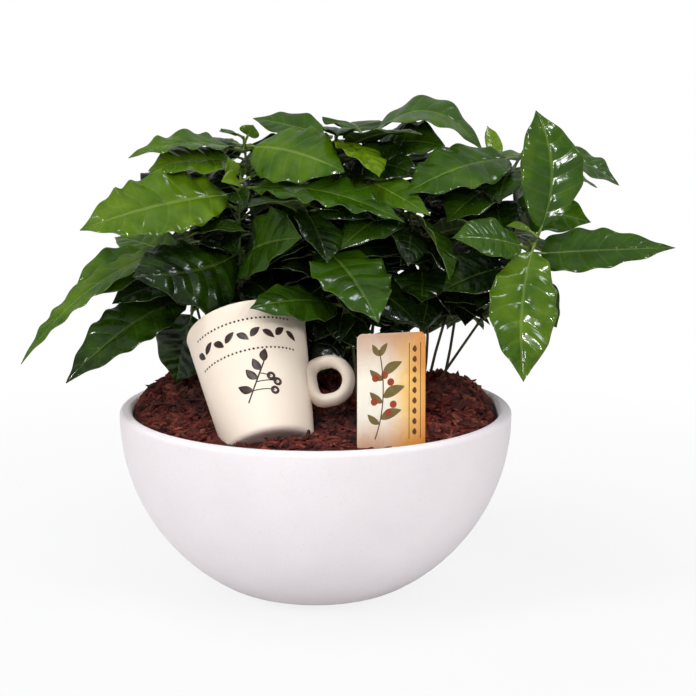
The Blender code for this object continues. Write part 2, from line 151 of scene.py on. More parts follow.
camera = set_down("camera", bpy.data.cameras.new("camera"))
camera.data.lens = CAMERA_LENS
camera_place = MOUTH_CENTRE + CAMERA_DISTANCE * Vector((0, -math.cos(CAMERA_RISE), math.sin(CAMERA_RISE)))
turn = Matrix.Rotation(-VIEW_TURN_RIGHT, 4, "Y") @ Matrix.Rotation(VIEW_TURN_UP, 4, "X")
camera.matrix_world = aimed(camera_place, MOUTH_CENTRE) @ turn
scene.camera = camera

world = bpy.data.worlds.new("studio")
world.use_nodes = True
scene.world = world
backdrop = world.node_tree.nodes["Background"]
backdrop.inputs["Color"].default_value = WHITE
dimming = ramp(world, seen_directly(world), AMBIENT_STRENGTH, 1.0)
world.node_tree.links.new(dimming, backdrop.inputs["Strength"])

for name, place, size, watts, colour in LAMPS:
    lamp = bpy.data.lights.new(name, "AREA")
    lamp.size = size
    lamp.energy = watts
    lamp.color = colour
    holder = set_down(name, lamp)
    holder.matrix_world = aimed(place, PLANT_HEART)
    holder.visible_diffuse = not name.startswith(GLINT)
    holder.visible_glossy = not name.startswith(FILL)

paper, matt = new_finish(
    "sweep_paper", base_color=SWEEP_PAPER, roughness=0.9, specular_ior_level=0.0
)
glow = add_node(paper, "Emission", {"Color": WHITE, "Strength": 1.0})
from_bowl = add_node(
    paper, "VectorMath", {0: add_node(paper, "TexCoord").outputs["Object"]}, operation="LENGTH"
)
glowing = ramp(paper, from_bowl.outputs["Value"], SWEEP_GLOW, 1.0, *SWEEP_SHADED)
share = sums(paper, "MULTIPLY", seen_directly(paper), glowing)
mixed = add_node(paper, "MixShader", {0: share, 1: matt.outputs[0], 2: glow.outputs[0]})
paper.node_tree.links.new(mixed.outputs[0], paper.node_tree.nodes["Material Output"].inputs[0])
sweep_maker = bmesh.new()
bmesh.ops.create_grid(sweep_maker, x_segments=1, y_segments=1, size=SWEEP_SIZE / 2)
sweep = set_down("sweep", mesh_from("sweep", sweep_maker))
sweep.data.materials.append(paper)

# ------------------------------------------------------------------------------------------
# Bowl: a thick hemisphere of white clay, turned, with a flat foot and a rounded lip. It is
# coated matte inside and out, and faintly mottled where the coat lies thinner.
BOWL_WALL = 9 * MM
LIP_ROUNDING = 3.4 * MM
BOWL_DROP = 10 * MM  # how much of the sphere its flat foot cuts off
BOWL_FLOOR = BOWL_WALL + 1 * MM
BOWL_STEPS = 160
BOWL_COAT = (247, 240, 244)
BOWL_COAT_THIN = (244, 237, 241)
BOWL_SPECK = (224, 216, 211)


def srgb(colour):
    """A colour of 0 to 255 values as the linear one that a shader takes."""
    shares = (value / 255 for value in colour)
    return (*(s / 12.92 if s <= 0.04 else ((s + 0.055) / 1.055) ** 2.4 for s in shares), 1.0)


def grain(material, scale, detail=4.0, stretch=None, warp=0.0, source="Object"):
    """Noise of a given number of features per metre, as a value near 0.5."""
    place = add_node(material, "TexCoord").outputs[source]
    if stretch:
        place = add_node(material, "Mapping", {"Vector": place, "Scale": stretch}).outputs[0]
    made = add_node(
        material, "TexNoise",
        {"Vector": place, "Scale": scale, "Detail": detail, "Distortion": warp},
    )
    return made.outputs["Fac"]


def mix(material, factor, first, second):
    """Two colours mixed by a factor, each of them a socket or a linear colour."""
    return add_node(material, "Mix", {0: factor, 6: first, 7: second}, data_type="RGBA").outputs[2]


def relief(material, shader, height, depth, strength=1.0):
    """Makes a height in shares of a depth in metres show on the surface."""
    bump = add_node(material, "Bump", {"Height": height, "Distance": depth, "Strength": strength})
    material.node_tree.links.new(bump.outputs[0], shader.inputs["Normal"])


def feed(material, shader, **sources):
    """Links sockets to the shader's inputs."""
    for socket, source in sources.items():
        material.node_tree.links.new(source, shader.inputs[socket.replace("_", " ").title()])


def finished(name, maker, finishes, stands_for=(), sharp=None):
    """A piece from a bmesh, which is freed: it rides on the root."""
    mesh = mesh_from(name, maker)
    for material in finishes:
        mesh.materials.append(material)
    mesh.shade_smooth()
    if sharp:
        mesh.set_sharp_from_angle(angle=math.radians(sharp))
    piece = set_down(name, mesh)
    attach(piece, "root")
    if stands_for:
        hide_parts(*stands_for)
    return piece


def turned(profile, steps):
    """A bmesh spun round Z from (radius, height) points that start and end on the axis."""
    maker = bmesh.new()
    points = [maker.verts.new((radius, 0, height)) for radius, height in profile]
    edges = [maker.edges.new(pair) for pair in zip(points, points[1:])]
    bmesh.ops.spin(
        maker, geom=points + edges, cent=(0, 0, 0), axis=(0, 0, 1),
        angle=math.tau, steps=steps, use_merge=True,
    )
    bmesh.ops.remove_doubles(maker, verts=maker.verts, dist=0.01 * MM)
    bmesh.ops.recalc_face_normals(maker, faces=maker.faces)
    return maker


def arc(centre_x, centre_y, radius, start, end, steps):
    """Points along a circle, between two angles in degrees."""
    turns = (math.radians(start + (end - start) * k / steps) for k in range(steps + 1))
    return [(centre_x + radius * math.cos(t), centre_y + radius * math.sin(t)) for t in turns]


_, bowl_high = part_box("bowl")
bowl_radius = bowl_high.x
rim_height = bowl_high.z
foot_radius = max(v.co.xy.length for v in nodes["bowl"].data.vertices if v.co.z < 0.1 * MM)
sphere_height = bowl_radius - BOWL_DROP
foot_curve = (bowl_radius**2 - sphere_height**2 - foot_radius**2) / (2 * BOWL_DROP)
foot_turn = -math.degrees(math.atan2(sphere_height - foot_curve, foot_radius))
floor_turn = -math.degrees(math.asin((sphere_height - BOWL_FLOOR) / (bowl_radius - BOWL_WALL)))
bowl_profile = [(0, 0), (foot_radius * 0.5, 0)]
bowl_profile += arc(foot_radius, foot_curve, foot_curve, -90, foot_turn, 10)
bowl_profile += arc(0, sphere_height, bowl_radius, foot_turn, 0, 40)[1:]
bowl_profile += arc(
    bowl_radius - LIP_ROUNDING, rim_height - LIP_ROUNDING, LIP_ROUNDING, 0, 90, 7
)
bowl_profile += arc(
    bowl_radius - BOWL_WALL + LIP_ROUNDING, rim_height - LIP_ROUNDING, LIP_ROUNDING, 90, 180, 7
)
bowl_profile += arc(0, sphere_height, bowl_radius - BOWL_WALL, 0, floor_turn, 30)
bowl_profile += [(0, BOWL_FLOOR)]

clay, shader = new_finish("bowl_clay", specular_ior_level=0.3)
cloud = grain(clay, 22, 5)
speck = grain(clay, 650, 2)
coat = mix(clay, ramp(clay, cloud, 0, 1, 0.4, 0.66), srgb(BOWL_COAT), srgb(BOWL_COAT_THIN))
feed(
    clay, shader,
    base_color=mix(clay, ramp(clay, speck, 0, 0.35, 0.62, 0.75), coat, srgb(BOWL_SPECK)),
    roughness=ramp(clay, cloud, 0.5, 0.68),
)
relief(clay, shader, mix(clay, 0.7, cloud, speck), 0.25 * MM)
finished("bowl_shell", turned(bowl_profile, BOWL_STEPS), [clay], ["bowl"], sharp=50)

# ------------------------------------------------------------------------------------------
# Soil and bark: moist peat, and on it a bed of coarse red-brown bark. The bed is strewn with
# chips that lie at every angle, and none close beside the mug and the label.
CHIP_PATCHES = 8
CHIPS_IN_PATCH = 430
CHIP_LENGTH = (5, 17)
CHIP_USUAL_LENGTH = 8
CHIP_WIDTH = (0.28, 0.55)  # as a share of its length
SLIVER_SHARE = 0.4  # of the chips
SLIVER_WIDTH = (0.1, 0.2)
CHIP_DEPTH = (0.12, 0.28)
CHIP_RAGGEDNESS = 0.34
CHIP_FULLNESS = 1.15  # how far its corners stand out of its size, before they are broken off
CHIP_CLEARANCE = 2.2 * MM
CHIP_TILT = 0.42
CHIP_RISE = (-0.2, 2.6)  # from half buried to lying on the others
CHIP_STEEPEST = 0.6  # the least upward share of the bed's normal where a chip will lie
PEAT_DARK = (30, 20, 15)
PEAT_PALE = (74, 52, 38)
BARK_DARK = (50, 13, 9)
BARK_RED = (126, 46, 36)
BARK_PALE = (158, 84, 66)

peat, shader = new_finish("soil_peat", roughness=0.95, specular_ior_level=0.15)
clods = grain(peat, 160, 8, warp=0.6)
feed(peat, shader, base_color=mix(peat, clods, srgb(PEAT_DARK), srgb(PEAT_PALE)))
relief(peat, shader, clods, 3 * MM)
nodes["soil"].data.materials.clear()
nodes["soil"].data.materials.append(peat)

bark, shader = new_finish("bark", specular_ior_level=0.25)
tone = add_node(bark, "Attribute", attribute_name="tone").outputs["Fac"]
fibre = grain(bark, 260, 8, (1.0, 0.45, 2.4), 0.8)
blotch = grain(bark, 90, 5, warp=0.4)
body = mix(bark, ramp(bark, blotch, 0, 1, 0.36, 0.64), srgb(BARK_DARK), srgb(BARK_RED))
body = mix(bark, ramp(bark, tone, 0, 0.75, 0.55, 1.0), body, srgb(BARK_PALE))
feed(
    bark, shader,
    base_color=mix(bark, ramp(bark, fibre, 0.75, 0, 0.35, 0.55), body, srgb(BARK_DARK)),
    roughness=ramp(bark, fibre, 0.62, 0.95),
)
relief(bark, shader, fibre, 1.6 * MM)
nodes["bark_mulch"].data.materials.clear()
nodes["bark_mulch"].data.materials.append(bark)


def search_tree(node_name):
    """A search tree of a CAD node's surface."""
    maker = bmesh.new()
    maker.from_mesh(nodes[node_name].data)
    tree = BVHTree.FromBMesh(maker)
    maker.free()
    return tree


def strew(seed, count):
    """A patch of bark chips: ragged slabs, each lying on the bed at its own angle."""
    luck = random.Random(seed)
    maker = bmesh.new()
    tones = maker.verts.layers.float.new("tone")
    reach = bowl_radius - BOWL_WALL - 3 * MM
    laid = 0
    while laid < count:
        spot = Vector((luck.uniform(-reach, reach), luck.uniform(-reach, reach), rim_height * 2))
        length = luck.triangular(*CHIP_LENGTH, CHIP_USUAL_LENGTH) * MM
        if spot.xy.length > reach - length * 0.35:
            continue
        laid += 1
        ground, normal, _, _ = bark_surface.ray_cast(spot, Vector((0, 0, -1)))
        if ground is None or normal.z < CHIP_STEEPEST:
            continue
        if any(tree.find_nearest(ground, CHIP_CLEARANCE + length * 0.3)[0] for tree in kept_clear):
            continue
        width = length * luck.uniform(*(SLIVER_WIDTH if luck.random() < SLIVER_SHARE else CHIP_WIDTH))
        depth = length * luck.uniform(*CHIP_DEPTH)
        lie = normal.to_track_quat("Z", "Y").to_matrix().to_4x4()
        pitch = Matrix.Rotation(luck.gauss(0, CHIP_TILT), 4, "X")
        tilt = pitch @ Matrix.Rotation(luck.gauss(0, CHIP_TILT), 4, "Y")
        spin = Matrix.Rotation(luck.uniform(0, math.tau), 4, "Z")
        rise = Matrix.Translation(ground + normal * luck.uniform(*CHIP_RISE) * MM)
        size = Matrix.Diagonal((length / 2, width / 2, depth / 2, 1))
        chip = bmesh.ops.create_icosphere(
            maker, subdivisions=1, radius=CHIP_FULLNESS, matrix=rise @ lie @ spin @ tilt @ size
        )["verts"]
        shade = luck.random()
        for vert in chip:
            ragged = Vector((luck.uniform(-1, 1), luck.uniform(-1, 1), luck.uniform(-1, 1)))
            vert.co += ragged * CHIP_RAGGEDNESS * width / 2
            vert[tones] = shade
    return maker


bark_surface = search_tree("bark_mulch")
kept_clear = [search_tree(name) for name in ("mug", "plant_label")]
for patch in range(CHIP_PATCHES):
    finished(f"bark_chips_{patch + 1}", strew(patch, CHIPS_IN_PATCH), [bark], sharp=25)

# ------------------------------------------------------------------------------------------
# Mug: cast stoneware in a cream gloss glaze, with a bare foot and a thick ring of a handle,
# squarer where it is luted to the wall. It lies back in the bark with its handle to the right.
MUG_HEIGHT = 94 * MM
MUG_FOOT_RADIUS = 30.5 * MM
MUG_MOUTH_RADIUS = 42 * MM
MUG_WALL = 4 * MM
MUG_EDGE = 3.5 * MM
MUG_RECESS = 0.5 * MM
MUG_STEPS = 96
MUG_PLACE = Vector((-31, -84, 123)) * MM
MUG_LEAN_BACK = math.radians(38.4)
MUG_LEAN_LEFT = math.radians(14.2)
HANDLE_HEIGHT = 39.5 * MM
HANDLE_OFFSET = 13.9 * MM  # middle of its ring from the mug's wall
HANDLE_RING = (13 * MM, 14.6 * MM)  # half width and half height of the ring's middle line
HANDLE_SECTION = (4.4 * MM, 5.6 * MM)  # half thickness and half depth
HANDLE_ROOT = 0.5  # how much deeper it is where it meets the wall
HANDLE_SQUARE = 0.62  # the power that squares its ring there, 1 for none
HANDLE_COIL = 4  # radius of the plain ring that it is shaped from, whose section has radius 1
GLAZE_CREAM = (248, 233, 217)
GLAZE_WARM = (245, 229, 212)
GLAZE_PIT = (206, 180, 150)
# The bare foot's colours are set near white, as painted light that makes up for the shade under the
# leaning mug
BARE_CLAY_PAINTED_LIGHT = (255, 242, 234)
BARE_GRIT_PAINTED_LIGHT = (236, 216, 204)

mug_lean = Matrix.Rotation(-MUG_LEAN_LEFT, 4, "Y") @ Matrix.Rotation(-MUG_LEAN_BACK, 4, "X")
mug_matrix = Matrix.Translation(MUG_PLACE) @ mug_lean


def mug_radius(height):
    """Outer radius of the mug: a cone with slightly rounded sides."""
    share = max(0.0, height / MUG_HEIGHT)
    return MUG_FOOT_RADIUS + (MUG_MOUTH_RADIUS - MUG_FOOT_RADIUS) * share**0.9


def only(kind, parts):
    """The parts of one kind among those that an operator gives back."""
    return [part for part in parts if isinstance(part, kind)]


def speckled(name, first, second, scale, detail, roughness, depth=0.0, **constants):
    """A finish of two colours blended by one noise, which also sets its roughness and relief."""
    material, shader = new_finish(name, **constants)
    speck = grain(material, scale, detail)
    feed(
        material, shader, base_color=mix(material, speck, srgb(first), srgb(second)),
        roughness=ramp(material, speck, *roughness),
    )
    if depth:
        relief(material, shader, speck, depth)
    return material


def sweep_ring(maker, frames, sides):
    """A tube in an empty bmesh: a circle carried through the frames by extruding, and capped."""
    bmesh.ops.create_circle(maker, cap_ends=True, radius=1, segments=sides, matrix=frames[0])
    edges = maker.edges[:]
    for last, following in zip(frames, frames[1:]):
        grown = bmesh.ops.extrude_edge_only(maker, edges=edges)["geom"]
        moved = only(bmesh.types.BMVert, grown)
        bmesh.ops.transform(maker, matrix=following @ last.inverted(), verts=moved)
        edges = [edge for edge in only(bmesh.types.BMEdge, grown) if set(edge.verts) <= set(moved)]
    bmesh.ops.contextual_create(maker, geom=edges)
    bmesh.ops.recalc_face_normals(maker, faces=maker.faces)


def handle_maker():
    """The handle: an oval ring, deeper where its inner side is buried in the wall."""
    maker = bmesh.new()
    start = mug_radius(HANDLE_HEIGHT) + HANDLE_OFFSET
    circle = bmesh.ops.create_circle(maker, radius=1, segments=20)["verts"]
    bmesh.ops.rotate(maker, verts=circle, matrix=Matrix.Rotation(math.pi / 2, 3, "X"))
    bmesh.ops.translate(maker, vec=(HANDLE_COIL, 0, 0), verts=circle)
    bmesh.ops.spin(
        maker, geom=maker.verts[:] + maker.edges[:], cent=(0, 0, 0), axis=(0, 0, 1),
        angle=math.tau, steps=48, use_merge=True,
    )
    wide, high = HANDLE_RING
    for vert in maker.verts:
        sideways, upwards = vert.co.xy.normalized()
        power = HANDLE_SQUARE if sideways < 0 else 1.0
        along = math.copysign(abs(sideways) ** power, sideways) * wide
        rise = math.copysign(abs(upwards) ** power, upwards) * high
        out = Vector((
            math.copysign(abs(sideways) ** (2 - power), sideways) / wide, 0,
            math.copysign(abs(upwards) ** (2 - power), upwards) / high,
        )).normalized()
        thick = (vert.co.xy.length - HANDLE_COIL) * HANDLE_SECTION[0]
        deep = vert.co.z * HANDLE_SECTION[1] * (1 + HANDLE_ROOT * max(0, -sideways) ** 2)
        vert.co = Vector((start + along, deep, HANDLE_HEIGHT + rise)) + out * thick
    bmesh.ops.recalc_face_normals(maker, faces=maker.faces)
    return maker


mug_rim = MUG_WALL / 2
recess_radius = MUG_FOOT_RADIUS - MUG_EDGE - 3 * MM
mug_profile = [(0, MUG_RECESS), (recess_radius - 1.5 * MM, MUG_RECESS), (recess_radius, 0)]
mug_profile += arc(mug_radius(MUG_EDGE) - MUG_EDGE, MUG_EDGE, MUG_EDGE, -90, 0, 7)
mug_profile += [(mug_radius(h), h) for h in (MUG_HEIGHT * k / 30 for k in range(3, 30))]
mug_profile += arc(MUG_MOUTH_RADIUS - mug_rim, MUG_HEIGHT - mug_rim, mug_rim, 0, 180, 10)
mug_profile += [
    (mug_radius(h) - MUG_WALL, h) for h in (MUG_HEIGHT * k / 24 for k in range(22, 3, -1))
]
mug_profile += arc(MUG_FOOT_RADIUS - MUG_WALL - 6 * MM, 12 * MM, 6 * MM, 0, -90, 7)
mug_profile += [(0, 6 * MM)]

glaze, shader = new_finish("mug_glaze", specular_ior_level=0.15)
drift = grain(glaze, 28, 4)
pit = grain(glaze, 900, 2)
feed(
    glaze, shader,
    base_color=mix(
        glaze, ramp(glaze, pit, 0, 0.3, 0.66, 0.78),
        mix(glaze, ramp(glaze, drift, 0, 1, 0.35, 0.7), srgb(GLAZE_CREAM), srgb(GLAZE_WARM)),
        srgb(GLAZE_PIT),
    ),
    roughness=ramp(glaze, drift, 0.36, 0.5),
)
relief(glaze, shader, drift, 0.35 * MM)
# Painted light: the bare foot's gritty clay is lightened to stand in for light that its shaded disc does
# not get
bare = speckled(
    "bare_clay_painted_light", BARE_GRIT_PAINTED_LIGHT, BARE_CLAY_PAINTED_LIGHT, 700, 6, (0.75, 0.95), 0.4 * MM, specular_ior_level=0.2
)

mug_maker = turned(mug_profile, MUG_STEPS)
for face in mug_maker.faces:
    middle = face.calc_center_median()
    face.material_index = int(middle.z < MUG_EDGE * 0.3 and middle.xy.length < MUG_FOOT_RADIUS)
mug = finished("mug_body", mug_maker, [glaze, bare], ["mug"])
handle = set_down("handle", mesh_from("handle", handle_maker()))
handle.data.materials.append(glaze)
lute = mug.modifiers.new("lute", "BOOLEAN")
lute.operation = "UNION"
lute.object = handle
bpy.context.view_layer.update()
luted = bpy.data.meshes.new_from_object(mug.evaluated_get(bpy.context.evaluated_depsgraph_get()))
mug.modifiers.clear()
mug.data = luted
bpy.data.objects.remove(handle)
luted.transform(mug_matrix)
luted.shade_smooth()
luted.set_sharp_from_angle(angle=math.radians(40))

# ------------------------------------------------------------------------------------------
# Mug print: dark brown transfers fired on the glaze. A band of small leaves between two rows
# of dots runs across the front, and below it stands a sprig with three berries.
PRINT_BROWN = (44, 28, 25)
PRINT_WORN = (70, 47, 41)
PRINT_RISE = 0.12 * MM
PRINT_THICKNESS = 0.1 * MM
BAND_HEIGHT = 69
BAND_HALF_ARC = 36
BAND_LEAVES = 9
BAND_LEAF = (9.5, 4.6)  # length and width
BAND_LEAF_LEAN = 38
DOT_ROWS = (58, 80)
DOT_RADIUS = 0.75
DOT_STEP = 3
SPRIG_PLACE = (7, 36)  # along the wall and up it
SPRIG_STEPS = 14


def flat_leaf(length, width, place, turn, rows=10):
    """A lens-shaped leaf of one layer, from its stalk end at a place on the flat print."""
    maker = bmesh.new()
    bmesh.ops.create_grid(maker, x_segments=rows, y_segments=4, size=0.5)
    for vert in maker.verts:
        along = vert.co.x + 0.5
        vert.co.y *= width * math.sin(math.pi * along**0.85) ** 0.9 + 0.04 * width
        vert.co.x = along * length
        vert.co.y += 0.06 * length * math.sin(math.pi * along)
    place = Matrix.Translation((*place, 0)) @ Matrix.Rotation(math.radians(turn), 4, "Z")
    bmesh.ops.transform(maker, matrix=place, verts=maker.verts)
    return maker


def flat_disc(radius, place, inner=0.0):
    """A disc or a ring of one layer on the flat print."""
    maker = bmesh.new()
    bmesh.ops.create_circle(maker, cap_ends=not inner, radius=radius, segments=20)
    if inner:
        rim = bmesh.ops.extrude_edge_only(maker, edges=maker.edges)["geom"]
        moved = only(bmesh.types.BMVert, rim)
        bmesh.ops.scale(maker, vec=(inner / radius, inner / radius, 1), verts=moved)
    bmesh.ops.translate(maker, vec=(*place, 0), verts=maker.verts)
    return maker


def flat_line(points, width):
    """A stroke of one layer through points on the flat print."""
    maker = bmesh.new()
    side = None
    for first, second in zip(points, points[1:]):
        step = Vector(second) - Vector(first)
        along = step.normalized()
        off = Vector((-along.y, along.x)) * width / 2
        if side is None:
            corners = [(*(Vector(first) + off), 0), (*(Vector(first) - off), 0)]
            side = maker.edges.new([maker.verts.new(corner) for corner in corners])
        grown = bmesh.ops.extrude_edge_only(maker, edges=[side])["geom"]
        moved = only(bmesh.types.BMVert, grown)
        side = next(edge for edge in only(bmesh.types.BMEdge, grown) if set(edge.verts) == set(moved))
        bmesh.ops.translate(maker, vec=(*step, 0), verts=moved)
    return maker


def gathered(makers):
    """One bmesh from several, which are freed."""
    whole = bmesh.new()
    for maker in makers:
        part = mesh_from("part", maker)
        whole.from_mesh(part)
        bpy.data.meshes.remove(part)
    return whole


def curve_points(start, bend, end, steps=10):
    """Points of a bent line, drawn towards its middle point."""
    start, bend, end = Vector(start), Vector(bend), Vector(end)
    shares = (k / steps for k in range(steps + 1))
    return [start * (1 - s) ** 2 + bend * (2 * s * (1 - s)) + end * s**2 for s in shares]


def wrap_on_mug(maker):
    """Lays a flat print, in millimetres along the wall and up it, on the front of the mug."""
    for vert in maker.verts:
        height = vert.co.y * MM
        radius = mug_radius(height) + PRINT_RISE
        turn = vert.co.x * MM / mug_radius(height) - math.pi / 2
        vert.co = Vector((radius * math.cos(turn), radius * math.sin(turn), height))
    bmesh.ops.recalc_face_normals(maker, faces=maker.faces)
    for face in maker.faces:
        if face.normal.dot(face.calc_center_median().xy.to_3d()) < 0:
            face.normal_flip()
    bmesh.ops.transform(maker, matrix=mug_matrix, verts=maker.verts)


ink, shader = new_finish("print_brown", specular_ior_level=0.4)
wear = grain(ink, 420, 4)
feed(
    ink, shader,
    base_color=mix(ink, ramp(ink, wear, 0, 1, 0.4, 0.7), srgb(PRINT_BROWN), srgb(PRINT_WORN)),
    roughness=ramp(ink, wear, 0.3, 0.45),
)
motifs = []
for k in range(BAND_LEAVES):
    spot = -BAND_HALF_ARC + 2 * BAND_HALF_ARC * k / (BAND_LEAVES - 1)
    lean = BAND_LEAF_LEAN if k % 2 else -BAND_LEAF_LEAN
    motifs.append(flat_leaf(*BAND_LEAF, (spot - 3.4, BAND_HEIGHT - 0.05 * lean), lean))
for row in DOT_ROWS:
    dots = range(-BAND_HALF_ARC, BAND_HALF_ARC + 1, DOT_STEP)
    motifs += [flat_disc(DOT_RADIUS, (along, row)) for along in dots]
sprig = Vector(SPRIG_PLACE)
stalk = curve_points(
    sprig + Vector((-12, -15)), sprig + Vector((-4, -2)), sprig + Vector((4, 12)), SPRIG_STEPS
)
motifs.append(flat_line(stalk, 1.0))
for share, turn in ((0.3, 150), (0.55, 128), (0.8, 112), (1.0, 74)):
    motifs.append(flat_leaf(11.5 - 2 * share, 5.4, stalk[round(share * SPRIG_STEPS)], turn))
for k, off in enumerate(((7.5, -9), (10.5, -3), (6.8, 1.2))):
    berry = sprig + Vector(off)
    twig = curve_points(stalk[4 + 3 * k], berry + Vector((-4, 2)), berry, 6)
    motifs.append(flat_line(twig, 0.7))
    motifs.append(flat_disc(3.0, berry, inner=1.1))
mug_print = gathered(motifs)
bmesh.ops.subdivide_edges(
    mug_print, edges=[e for e in mug_print.edges if e.calc_length() > 3], cuts=1, use_grid_fill=True
)
wrap_on_mug(mug_print)
printed = finished("mug_print", mug_print, [ink])
film = printed.modifiers.new("film", "SOLIDIFY")
film.thickness = PRINT_THICKNESS

# ------------------------------------------------------------------------------------------
# Label: a printed plastic card on a stake pushed into the bark. Its face runs from cream to
# amber, with a branch of coffee leaves and ripe berries, a ruled band and a pale cut edge.
LABEL_WIDTH = 49
LABEL_HEIGHT = 79
LABEL_THICKNESS = 0.9
LABEL_CORNER = 4
LABEL_STAKE = (16, 38)
LABEL_PLACE = Vector((50.5, -103.5, 127)) * MM
LABEL_FACING = math.radians(20)
LABEL_LEAN_BACK = math.radians(4)
LABEL_LEAN_RIGHT = math.radians(1.3)
CARD_CREAM = (255, 248, 232)
CARD_SHADE = (186, 132, 98)
CARD_AMBER = (254, 206, 120)
CARD_ORANGE = (232, 140, 52)
CARD_EDGE = (246, 238, 222)
CARD_EDGE_SCUFFED = (226, 210, 186)
LABEL_INKS = (  # name and two colours, in the order of their layers
    ("label_leaf_ink", (92, 78, 40), (142, 122, 66)),
    ("label_berry_ink", (128, 44, 26), (186, 78, 44)),
    ("label_line_ink", (92, 50, 26), (120, 66, 34)),
)
INK_LIFT = 0.04  # of each layer above the last
BRANCH_STEPS = 16
BRANCH_LEAVES = (  # step of the branch, turn and length
    (3, 140, 11), (4, 20, 16), (7, 140, 12), (8, 24, 17),
    (11, 142, 12), (12, 30, 16), (15, 125, 10), (15, 60, 10),
)
BRANCH_BERRIES = (  # step of the branch, and place off it
    (6, 4.6, -3), (6, 8, 2.4), (7, -6, 1), (11, 5.6, -1.4), (11, -5.4, 1.6), (11, 1.2, 3.4),
)
BERRY_RADIUS = 2.5
RULED_LINES = (12.6, 20.8)
BEANS = 9
BEAN_STEP = 7.0

label_matrix = (
    Matrix.Translation(LABEL_PLACE)
    @ Matrix.Rotation(LABEL_FACING, 4, "Z")
    @ Matrix.Rotation(-LABEL_LEAN_BACK, 4, "X")
    @ Matrix.Rotation(LABEL_LEAN_RIGHT, 4, "Y")
    @ Matrix.Scale(MM, 4)
)


def card_outline():
    """The card's outline, anticlockwise from the point of its stake."""
    half, corner = LABEL_WIDTH / 2, LABEL_CORNER
    stake_half, stake_length = LABEL_STAKE[0] / 2, LABEL_STAKE[1]
    right = [(stake_half, -stake_length * 0.62), (stake_half, -1), (stake_half + 1, 0)]
    right += arc(half - corner, corner, corner, -90, 0, 8)
    right += arc(half - corner, LABEL_HEIGHT - corner, corner, 0, 90, 8)
    return [(0, -stake_length)] + right + [(-x, y) for x, y in reversed(right)]


def stood_up(maker):
    """Turns a flat print, in millimetres, up on the card's front face and into its place."""
    stand = Matrix.Rotation(math.pi / 2, 4, "X")
    bmesh.ops.transform(maker, matrix=label_matrix @ stand, verts=maker.verts)


card_maker = bmesh.new()
outline_verts = [card_maker.verts.new((x, y, LABEL_THICKNESS / 2)) for x, y in card_outline()]
card_maker.faces.new(outline_verts)
card_map = card_maker.loops.layers.uv.new("card")
for loop in card_maker.faces[:][0].loops:
    loop[card_map].uv = (loop.vert.co.x / LABEL_WIDTH + 0.5, loop.vert.co.y / LABEL_HEIGHT)
thick = bmesh.ops.extrude_face_region(card_maker, geom=card_maker.faces[:], use_keep_orig=True)
moved = only(bmesh.types.BMVert, thick["geom"])
bmesh.ops.translate(card_maker, vec=(0, 0, -LABEL_THICKNESS), verts=moved)
bmesh.ops.recalc_face_normals(card_maker, faces=card_maker.faces)
for face in card_maker.faces:
    face.material_index = int(face.normal.z <= 0.9)
rims = [edge for edge in card_maker.edges if abs(edge.verts[0].co.z - edge.verts[1].co.z) < 0.1]
bmesh.ops.bevel(
    card_maker, geom=rims, offset=0.16, segments=2, profile=0.5, affect="EDGES", material=-1
)
stood_up(card_maker)

card, shader = new_finish("label_card", specular_ior_level=0.4, coat_weight=0.1, coat_roughness=0.1)
spot = add_node(card, "TexCoord").outputs["UV"]
cross = add_node(card, "SeparateXYZ", {0: spot}).outputs
haze = grain(card, 3.2, 5, source="UV", warp=0.6)
lateral = sums(card, "ADD", cross[0], ramp(card, haze, -0.16, 0.16))
upward = sums(card, "ADD", cross[1], ramp(card, haze, -0.12, 0.12))
picture = mix(card, ramp(card, lateral, 0, 1, 0.42, 0.74), srgb(CARD_CREAM), srgb(CARD_AMBER))
picture = mix(card, ramp(card, upward, 0, 0.8, 0.6, 1.0), picture, srgb(CARD_SHADE))
picture = mix(card, ramp(card, upward, 0, 0.6, 0.3, 0.0), picture, srgb(CARD_ORANGE))
picture = mix(card, ramp(card, lateral, 0, 0.8, 0.74, 1.04), picture, srgb(CARD_ORANGE))
feed(card, shader, base_color=picture, roughness=ramp(card, haze, 0.22, 0.34))
edge_white = speckled(
    "label_edge", CARD_EDGE, CARD_EDGE_SCUFFED, 300, 4, (0.35, 0.5), specular_ior_level=0.4
)
finished("label_card", card_maker, [card, edge_white], ["plant_label"], sharp=40)

label_inks = [
    speckled(name, dark, light, 260, 3, (0.24, 0.36), specular_ior_level=0.4)
    for name, dark, light in LABEL_INKS
]
branch = curve_points((-12, 8), (-2, 34), (-9, 68), BRANCH_STEPS)
leaf_layer = [
    flat_leaf(length, length * 0.4, branch[step], turn) for step, turn, length in BRANCH_LEAVES
]
berry_layer = [
    flat_disc(BERRY_RADIUS, branch[step] + Vector(off)) for step, *off in BRANCH_BERRIES
]
line_layer = [flat_line(branch, 0.8)]
line_layer += [flat_line([(x, 7), (x, 72)], 0.45) for x in RULED_LINES]
line_layer += [flat_leaf(4.6, 3.0, (16.7, 9.6 + BEAN_STEP * k), 90) for k in range(BEANS)]
ink_layers = []
for index, layer in enumerate((leaf_layer, berry_layer, line_layer)):
    ink_layer = gathered(layer)
    for face in ink_layer.faces:
        face.material_index = index
        if face.normal.z < 0:
            face.normal_flip()
    lift = LABEL_THICKNESS / 2 + INK_LIFT * (index + 1)
    bmesh.ops.translate(ink_layer, vec=(0, 0, lift), verts=ink_layer.verts)
    ink_layers.append(ink_layer)
label_print = gathered(ink_layers)
stood_up(label_print)
finished("label_print", label_print, label_inks)

